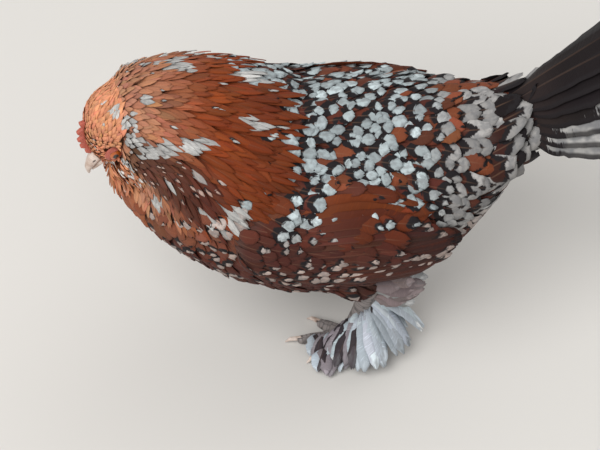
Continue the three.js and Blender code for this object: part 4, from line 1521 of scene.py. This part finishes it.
class FanTail(Piece):
    """Fourteen tail feathers in a sloping fan"""

    bl_idname = "hen.fan_tail"
    bl_label = "Fan the tail"

    def execute(self, context):
        sizes = context.scene.hen_sizes
        rng = np.random.default_rng(67)
        root, middle, tip, up = (np.array(p) for p in zip(*map(self.feather, TAIL_NAMES)))
        tail, spangle, horn = palette("tail", "spangle", "horn")
        count = len(TAIL_NAMES)
        order = np.repeat(np.arange(7), 2)
        outer = np.interp(order, [1, 2, 3, 4, 5, 6], [0.02, 0.1, 0.4, 0.7, 0.84, 0.78])
        white = 0.04 * rng.uniform(0.3, 1.4, count) + outer * rng.uniform(0.92, 1.04, count)
        look = look_of(tail, (spangle * 0.5 + horn * 0.5) * 0.7, white, 0.04, rng, 0.1)
        coat = Coat("tail", rng)
        coat.lay(
            Vane(TAIL_COLUMNS, 20, quill_tip, shaft=1.8), ((root, middle, tip), (up, up), sizes.tail_width, look),
            THICKNESS["tail"], ((order + 0.5) / 7, np.tile([0.25, 0.75], 7)),
            ragged=0.035, twist=0.03, patch=(0.09, 0.42),
        )
        material = vane_material(
            "hen_tail", barbs=90, gloss=0.55, fuzz=0.2, mottle_and_shade=0.85, down=0.2, rib=0.12, margin_shade=0.66
        )
        coat.finish(material, "tail", *TAIL_NAMES)
        return {"FINISHED"}

    def feather(self, name):
        """Root, middle and tip of one CAD tail feather, and the way that its broad side faces."""
        points = points_of(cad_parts[name].data)
        centre = points.mean(0)
        _, _, axes = np.linalg.svd(points - centre, full_matrices=False)
        along, up = axes[0] * np.sign(axes[0][1]), axes[2] * np.sign(axes[2][2])
        reach = (points - centre) @ along
        far = points[reach > reach.max() - 0.004].mean(0)
        near = points[reach < reach.min() + 0.012].mean(0)
        half = near + (far - near) * 0.5
        close = points[np.abs((points - half) @ along) < 0.022].mean(0)
        return near, half + up * ((close - half) @ up), far, up


class BootFeet(Piece):
    """Stiff hock feathers, and the fan of long feathers on each foot"""

    bl_idname = "hen.boot_feet"
    bl_label = "Boot the feet"

    def execute(self, context):
        material = vane_material("hen_boot", barbs=40, gloss=0.65, fuzz=0.1, mottle_and_shade=0.55, barb_shade=0.6, down=0.2)
        kind = Vane(SLIM_COLUMNS, 9, round_tip)
        for side, sign in SIDES.items():
            rng = np.random.default_rng(79 + sign)
            hock, ankle = leg_line(side)
            boot = Coat(f"boot_{side}", rng)
            self.fan(boot, kind, sign, hock, ankle)
            self.toes(boot, kind, side, sign, ankle)
            boot.finish(material, "boot", f"boot_feathers_{side}")
            hocks = Coat(f"hock_{side}", rng)
            self.hock(hocks, kind, side, sign, hock)
            hocks.finish(material, "boot", f"hock_feathers_{side}")
        return {"FINISHED"}

    def shades(self, rng, count, pale, lilac):
        """Colours of the boot's feathers: pale blue, or else grey-lilac, or else nearly black."""
        (light,) = palette("boot")
        other = np.where(rng.random((count, 1)) < np.reshape(lilac, (-1, 1)), BOOT_LILAC, BOOT_DARK)
        return np.where(rng.random((count, 1)) < np.reshape(pale, (-1, 1)), light, other)

    def mottled(self, rng, ground, tip, most, spread):
        """Look of the boot's feathers: their tips in a lighter shade of the same, and no bar."""
        return look_of(ground, ground * tip, rng.uniform(0.1, most, len(ground)), 0, rng, spread, tint=0.015)

    def lay_row(self, coat, kind, root, middle, tip, up, width, look, row, thick=THICKNESS["boot"], **shape):
        """One layer of feathers, in one row of the bake's map."""
        count = len(width)
        spots = ((np.arange(count) + 0.5) / count, np.full(count, row))
        coat.lay(kind, ((root, middle, tip), (up, up), width, look), thick, spots, **shape)

    def upward(self, way, chord):
        """Square to a feather's chord, and above it."""
        up = unit(np.cross(np.cross(way, [0, 0, 1]), chord))
        return up * np.sign(up[:, 2:3])

    def fan(self, coat, kind, sign, hock, ankle):
        """Overlapping layers from the shank and ankle: long behind, shorter to the front."""
        rng = coat.rng
        for layer, (count, scale, rise) in enumerate(FAN_LAYERS):
            t = np.clip(np.linspace(0, 1, count) + rng.normal(0, 0.02, count), 0, 1)
            turn = np.radians(between(96, -58, t))
            way = np.stack([sign * np.cos(turn), np.sin(turn), 0 * turn], 1)
            root_z = between(38, 18, t) - layer * 2
            share = ((root_z * MM - ankle[2]) / (hock[2] - ankle[2]))[:, None]
            root = ankle + (hock - ankle) * share + np.array([sign * 0.0025, 0, 0])
            reach = between(43, 21, t**0.6) + 3.5 * np.exp(-(((t - 0.33) / 0.15) ** 2))
            reach = reach * scale * rng.uniform(0.86, 1.04, count)
            tip = ankle + way * reach[:, None] * MM
            tip[:, 2] = (between(9, 2.4, t) + rise + rng.uniform(0, 2.5, count)) * MM
            arch = (between(8, 4, t) + rise * 0.5) * MM
            middle = (root + tip) / 2 + np.array([0, 0, 1]) * arch[:, None]
            up = self.upward(way, tip - root)
            width = between(9.5, 7, t) * MM * (0.7 + 0.3 * scale) * rng.uniform(0.8, 1.15, count)
            pale = (1 - smooth(t, 0.52, 0.68)) * FAN_PALE[layer] + 0.18
            ground = self.shades(rng, count, pale, 0.3 + 0.6 * smooth(t, 0.7, 0.85))
            look = self.mottled(rng, ground, 1.1, 0.3, 0.12)
            shape = {"camber": 0.22, "ragged": 0.1, "twist": 0.16, "patch": (0.05, 0.14)}
            self.lay_row(coat, kind, root, middle, tip, up, width, look, 0.12 + 0.16 * layer, **shape)

    def toes(self, coat, kind, side, sign, ankle):
        """Shorter feathers along the outer and middle toes, which hide most of them."""
        rng = coat.rng
        count = 12
        # how far along the toe the last one grows, the first one's length, the share of lilac ones, place on the map
        for toe, last, longest, lilac, row in (("outer", 0.8, 23, 0.85, 0.78), ("middle", 0.62, 17, 0.35, 0.92)):
            end = middle_of(f"claw_{toe}_{side}")
            share = np.linspace(0.1, last, count)[:, None]
            root = ankle + (end - ankle) * share
            root[:, 2] = (9 - 4 * share[:, 0]) * MM
            outward = np.array([sign * 0.95, 0.15, 0]) + rng.normal(0, 0.12, (count, 3)) * [1, 1, 0]
            way = unit(unit(end - ankle) * 0.35 + outward)
            tip = root + way * ((longest - 8 * share) * rng.uniform(0.65, 1.15, (count, 1)) * MM)
            tip[:, 2] = rng.uniform(2.4, 4, count) * MM
            middle = (root + tip) / 2 + np.array([0, 0, 0.003])
            up = self.upward(way, tip - root)
            ground = self.shades(rng, count, 0.3, lilac)
            look = self.mottled(rng, ground, 1.2, 0.25, 0.15)
            width = TOE_WIDTH * rng.uniform(0.75, 1.2, count)
            shape = {"thick": THICKNESS["toe"], "camber": 0.14, "ragged": 0.16, "twist": 0.25, "patch": (0.06, 0.12)}
            self.lay_row(coat, kind, root, middle, tip, up, width, look, row, **shape)

    def hock(self, coat, kind, side, sign, hock):
        """Stiff feathers that point back from the hock."""
        rng = coat.rng
        low, high = (np.array(corner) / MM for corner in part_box(f"hock_feathers_{side}"))
        for layer, (count, scale, rise) in enumerate(HOCK_LAYERS):
            t = np.linspace(0, 1, count)
            root = hock + np.stack([sign * rng.uniform(-2, 4, count), rng.uniform(-6, 0, count), 8 - 9 * t], 1) * MM
            x = (low[0] + high[0]) / 2 + sign * (rise + rng.uniform(-3, 3, count))
            y = high[1] - 3 - 7 * t + rng.normal(0, 1.5, count)
            z = between(high[2] - 5, low[2] + 1, t) + rng.normal(0, 1, count)
            tip = root + (np.stack([x, y, z], 1) * MM - root) * scale
            middle = (root + tip) / 2 + np.array([sign * 2, 0, 2.5]) * MM
            up = np.tile(unit(np.array([sign * 0.8, 0.2, 0.6])), (count, 1))
            ground = self.shades(rng, count, 0.22, 0.72) * 0.85 * [0.96, 0.87, 0.8]
            look = self.mottled(rng, ground, 1.25, 0.3, 0.18)
            width = HOCK_WIDTH * rng.uniform(0.8, 1.15, count)
            shape = {"camber": 0.24, "ragged": 0.12, "twist": 0.2, "patch": (0.08, 0.26)}
            self.lay_row(coat, kind, root, middle, tip, up, width, look, 0.2 + 0.3 * layer, **shape)


class MakeEyes(Piece):
    """Wet eyes under thin lids"""

    bl_idname = "hen.make_eyes"
    bl_label = "Make the eyes"

    def execute(self, context):
        for side, sign in SIDES.items():
            out = HEAD_LEFT * sign
            turn = Vector(out).to_track_quat("Z", "Y").to_euler()
            deselect()
            bpy.ops.mesh.primitive_uv_sphere_add(
                segments=32, ring_count=20, radius=EYE_RADIUS, location=EYES[side], rotation=turn, scale=(1, 1, 0.8)
            )
            eye = self.applied(f"wet_eye_{side}")
            bpy.ops.object.shade_smooth()
            eye.data.materials.append(eye_material(side))
            settle(eye, "eye", f"eye_{side}")

            deselect()
            bpy.ops.mesh.primitive_torus_add(
                major_radius=LID_RADIUS, minor_radius=0.0012, major_segments=48, minor_segments=16,
                location=EYES[side] + out * LID_LIFT, rotation=turn,
            )
            lid = self.applied(f"lids_{side}")
            move_points(lid.data, self.closing(points_of(lid.data), side, out))
            bpy.ops.object.shade_smooth()
            lid.data.materials.append(comb_material())
            settle(lid, "comb")
        return {"FINISHED"}

    def applied(self, name):
        """The new object, named, with its place and turn written into its points."""
        piece = name_it(bpy.context.view_layer.objects.active, name)
        bpy.ops.object.transform_apply(location=True, rotation=True, scale=True)
        return piece

    def closing(self, points, side, out):
        """The bare rim, low outside, rises to a thin edge that closes over the top of the eye."""
        offset = points - EYES[side]
        up, fore, high = offset @ HEAD_UP, offset @ HEAD_FORWARD, offset @ out
        inner = 1 - smooth(np.hypot(up, fore), 0.0036, 0.0046)
        corner = smooth(np.abs(fore), 0.0028, 0.0052)
        lower = (high - LID_LIFT) * 0.3 * (1 - inner) - inner * 0.0009 + corner * 0.0007
        close = up * 0.14 + inner * np.maximum(up, 0) * 0.16
        return points - out * lower[:, None] - HEAD_UP * close[:, None]


class MakeBeak(Piece):
    """Beak, comb and claws"""

    bl_idname = "hen.make_beak"
    bl_label = "Make the beak, comb and claws"

    def execute(self, context):
        horn = horn_material()
        for half in ("upper", "lower"):
            self.rounded(f"beak_{half}_horn", 0.00045, horn, "horn", f"beak_{half}")
        self.rounded("comb_flesh", 0.0004, comb_material(), "comb", "comb")
        for side in SIDES:
            self.rounded(f"claws_{side}", 0.00028, horn, "horn", *(f"claw_{toe}_{side}" for toe in TOE_NAMES))
        return {"FINISHED"}

    def rounded(self, name, cell, material, slot, *nodes):
        """A smooth closed copy of faceted solids, which replaces them."""
        piece = copy_of(name, nodes)
        modify(piece, "REMESH", mode="VOXEL", voxel_size=cell, use_smooth_shade=True)
        modify(piece, "SMOOTH", factor=0.5, iterations=5)
        piece.data.materials.append(material)
        settle(piece, slot, *nodes)


class PaintSkin(Piece):
    """Gives the skin the colours of the feathers that grow from it, darkened as painted shade under the coat"""

    bl_idname = "hen.paint_skin"
    bl_label = "Paint the skin"

    def execute(self, context):
        mesh = made["skin"].data
        places, shades = (np.concatenate(values) for values in zip(*made["roots"]))
        tree = tree_of(places)
        points = points_of(mesh)
        nearest = [tree.find(point)[1] for point in points.tolist()]
        # Painted shade under the coat: the skin takes its feathers' colours at 62%, and at 87% near the head.
        under_coat_shade = 0.62 + 0.25 * (distance(points, SKULL) < 0.04)[:, None]
        values = np.concatenate([shades[nearest] * under_coat_shade, made["bare"][:, None]], 1)
        add_attribute(mesh, "ground", "FLOAT_COLOR", values)
        add_attribute(mesh, "scute", "FLOAT_VECTOR", self.scutes(points))
        return {"FINISHED"}

    def scutes(self, points):
        """Coordinates for the plates of shanks and toes: the place along each, in plates, and the angle round it."""
        nearest = np.full(len(points), np.inf)
        found = np.zeros((len(points), 3))
        for side in SIDES:
            hock, ankle = leg_line(side)
            ends = [hock] + [middle_of(f"claw_{toe}_{side}") for toe in TOE_NAMES]
            for number, end in enumerate(ends):
                axis = unit(end - ankle)
                front = np.array([0, -1, 0]) if number == 0 else np.array([0, 0, 1])
                front = unit(front - axis * (front @ axis))
                offset = points - ankle
                along = np.clip(offset @ axis, 0, np.linalg.norm(end - ankle))
                away = offset - along[:, None] * axis
                about = np.arctan2(away @ np.cross(axis, front), away @ front)
                plates = np.stack([along / PLATE_LENGTH, about * 0.5, np.full(len(points), number * 7.0)], 1)
                thickness = np.linalg.norm(away, axis=1)
                mine = thickness < nearest
                nearest[mine], found[mine] = thickness[mine], plates[mine]
        return found


class HEN_PT_panel(bpy.types.Panel):
    """The hen's sizes, colours and pieces"""

    bl_idname = "HEN_PT_panel"
    bl_label = "Booted bantam hen"
    bl_space_type = "VIEW_3D"
    bl_region_type = "UI"
    bl_category = "Hen"

    def draw(self, context):
        for group in (context.scene.hen_sizes, context.scene.hen_colours, context.scene.hen_stage):
            box = self.layout.box()
            for name in group.__annotations__:
                box.prop(group, name)
        for operator in PIECES:
            self.layout.operator(operator.bl_idname)


GROUPS = {"hen_sizes": HenSizes, "hen_colours": HenColours, "hen_stage": HenStage}
PIECES = [SetStage, GrowSkin, FeatherBody, FeatherNeck, FeatherHead, FeatherWings, FanTail, BootFeet]
PIECES += [MakeEyes, MakeBeak, PaintSkin]


def register():
    for name, group in GROUPS.items():
        bpy.utils.register_class(group)
        setattr(bpy.types.Scene, name, bpy.props.PointerProperty(type=group))
    for operator in PIECES:
        bpy.utils.register_class(operator)
    bpy.utils.register_class(HEN_PT_panel)


def unregister():
    bpy.utils.unregister_class(HEN_PT_panel)
    for operator in reversed(PIECES):
        bpy.utils.unregister_class(operator)
    for name, group in GROUPS.items():
        delattr(bpy.types.Scene, name)
        bpy.utils.unregister_class(group)


def main():
    register()
    for operator in PIECES:
        group, name = operator.bl_idname.split(".")
        getattr(getattr(bpy.ops, group), name)()
    total = sum(count for _, count in made["coats"])
    print("coat triangles", made["coats"], total)
    deselect()


if __name__ == "__main__":
    main()
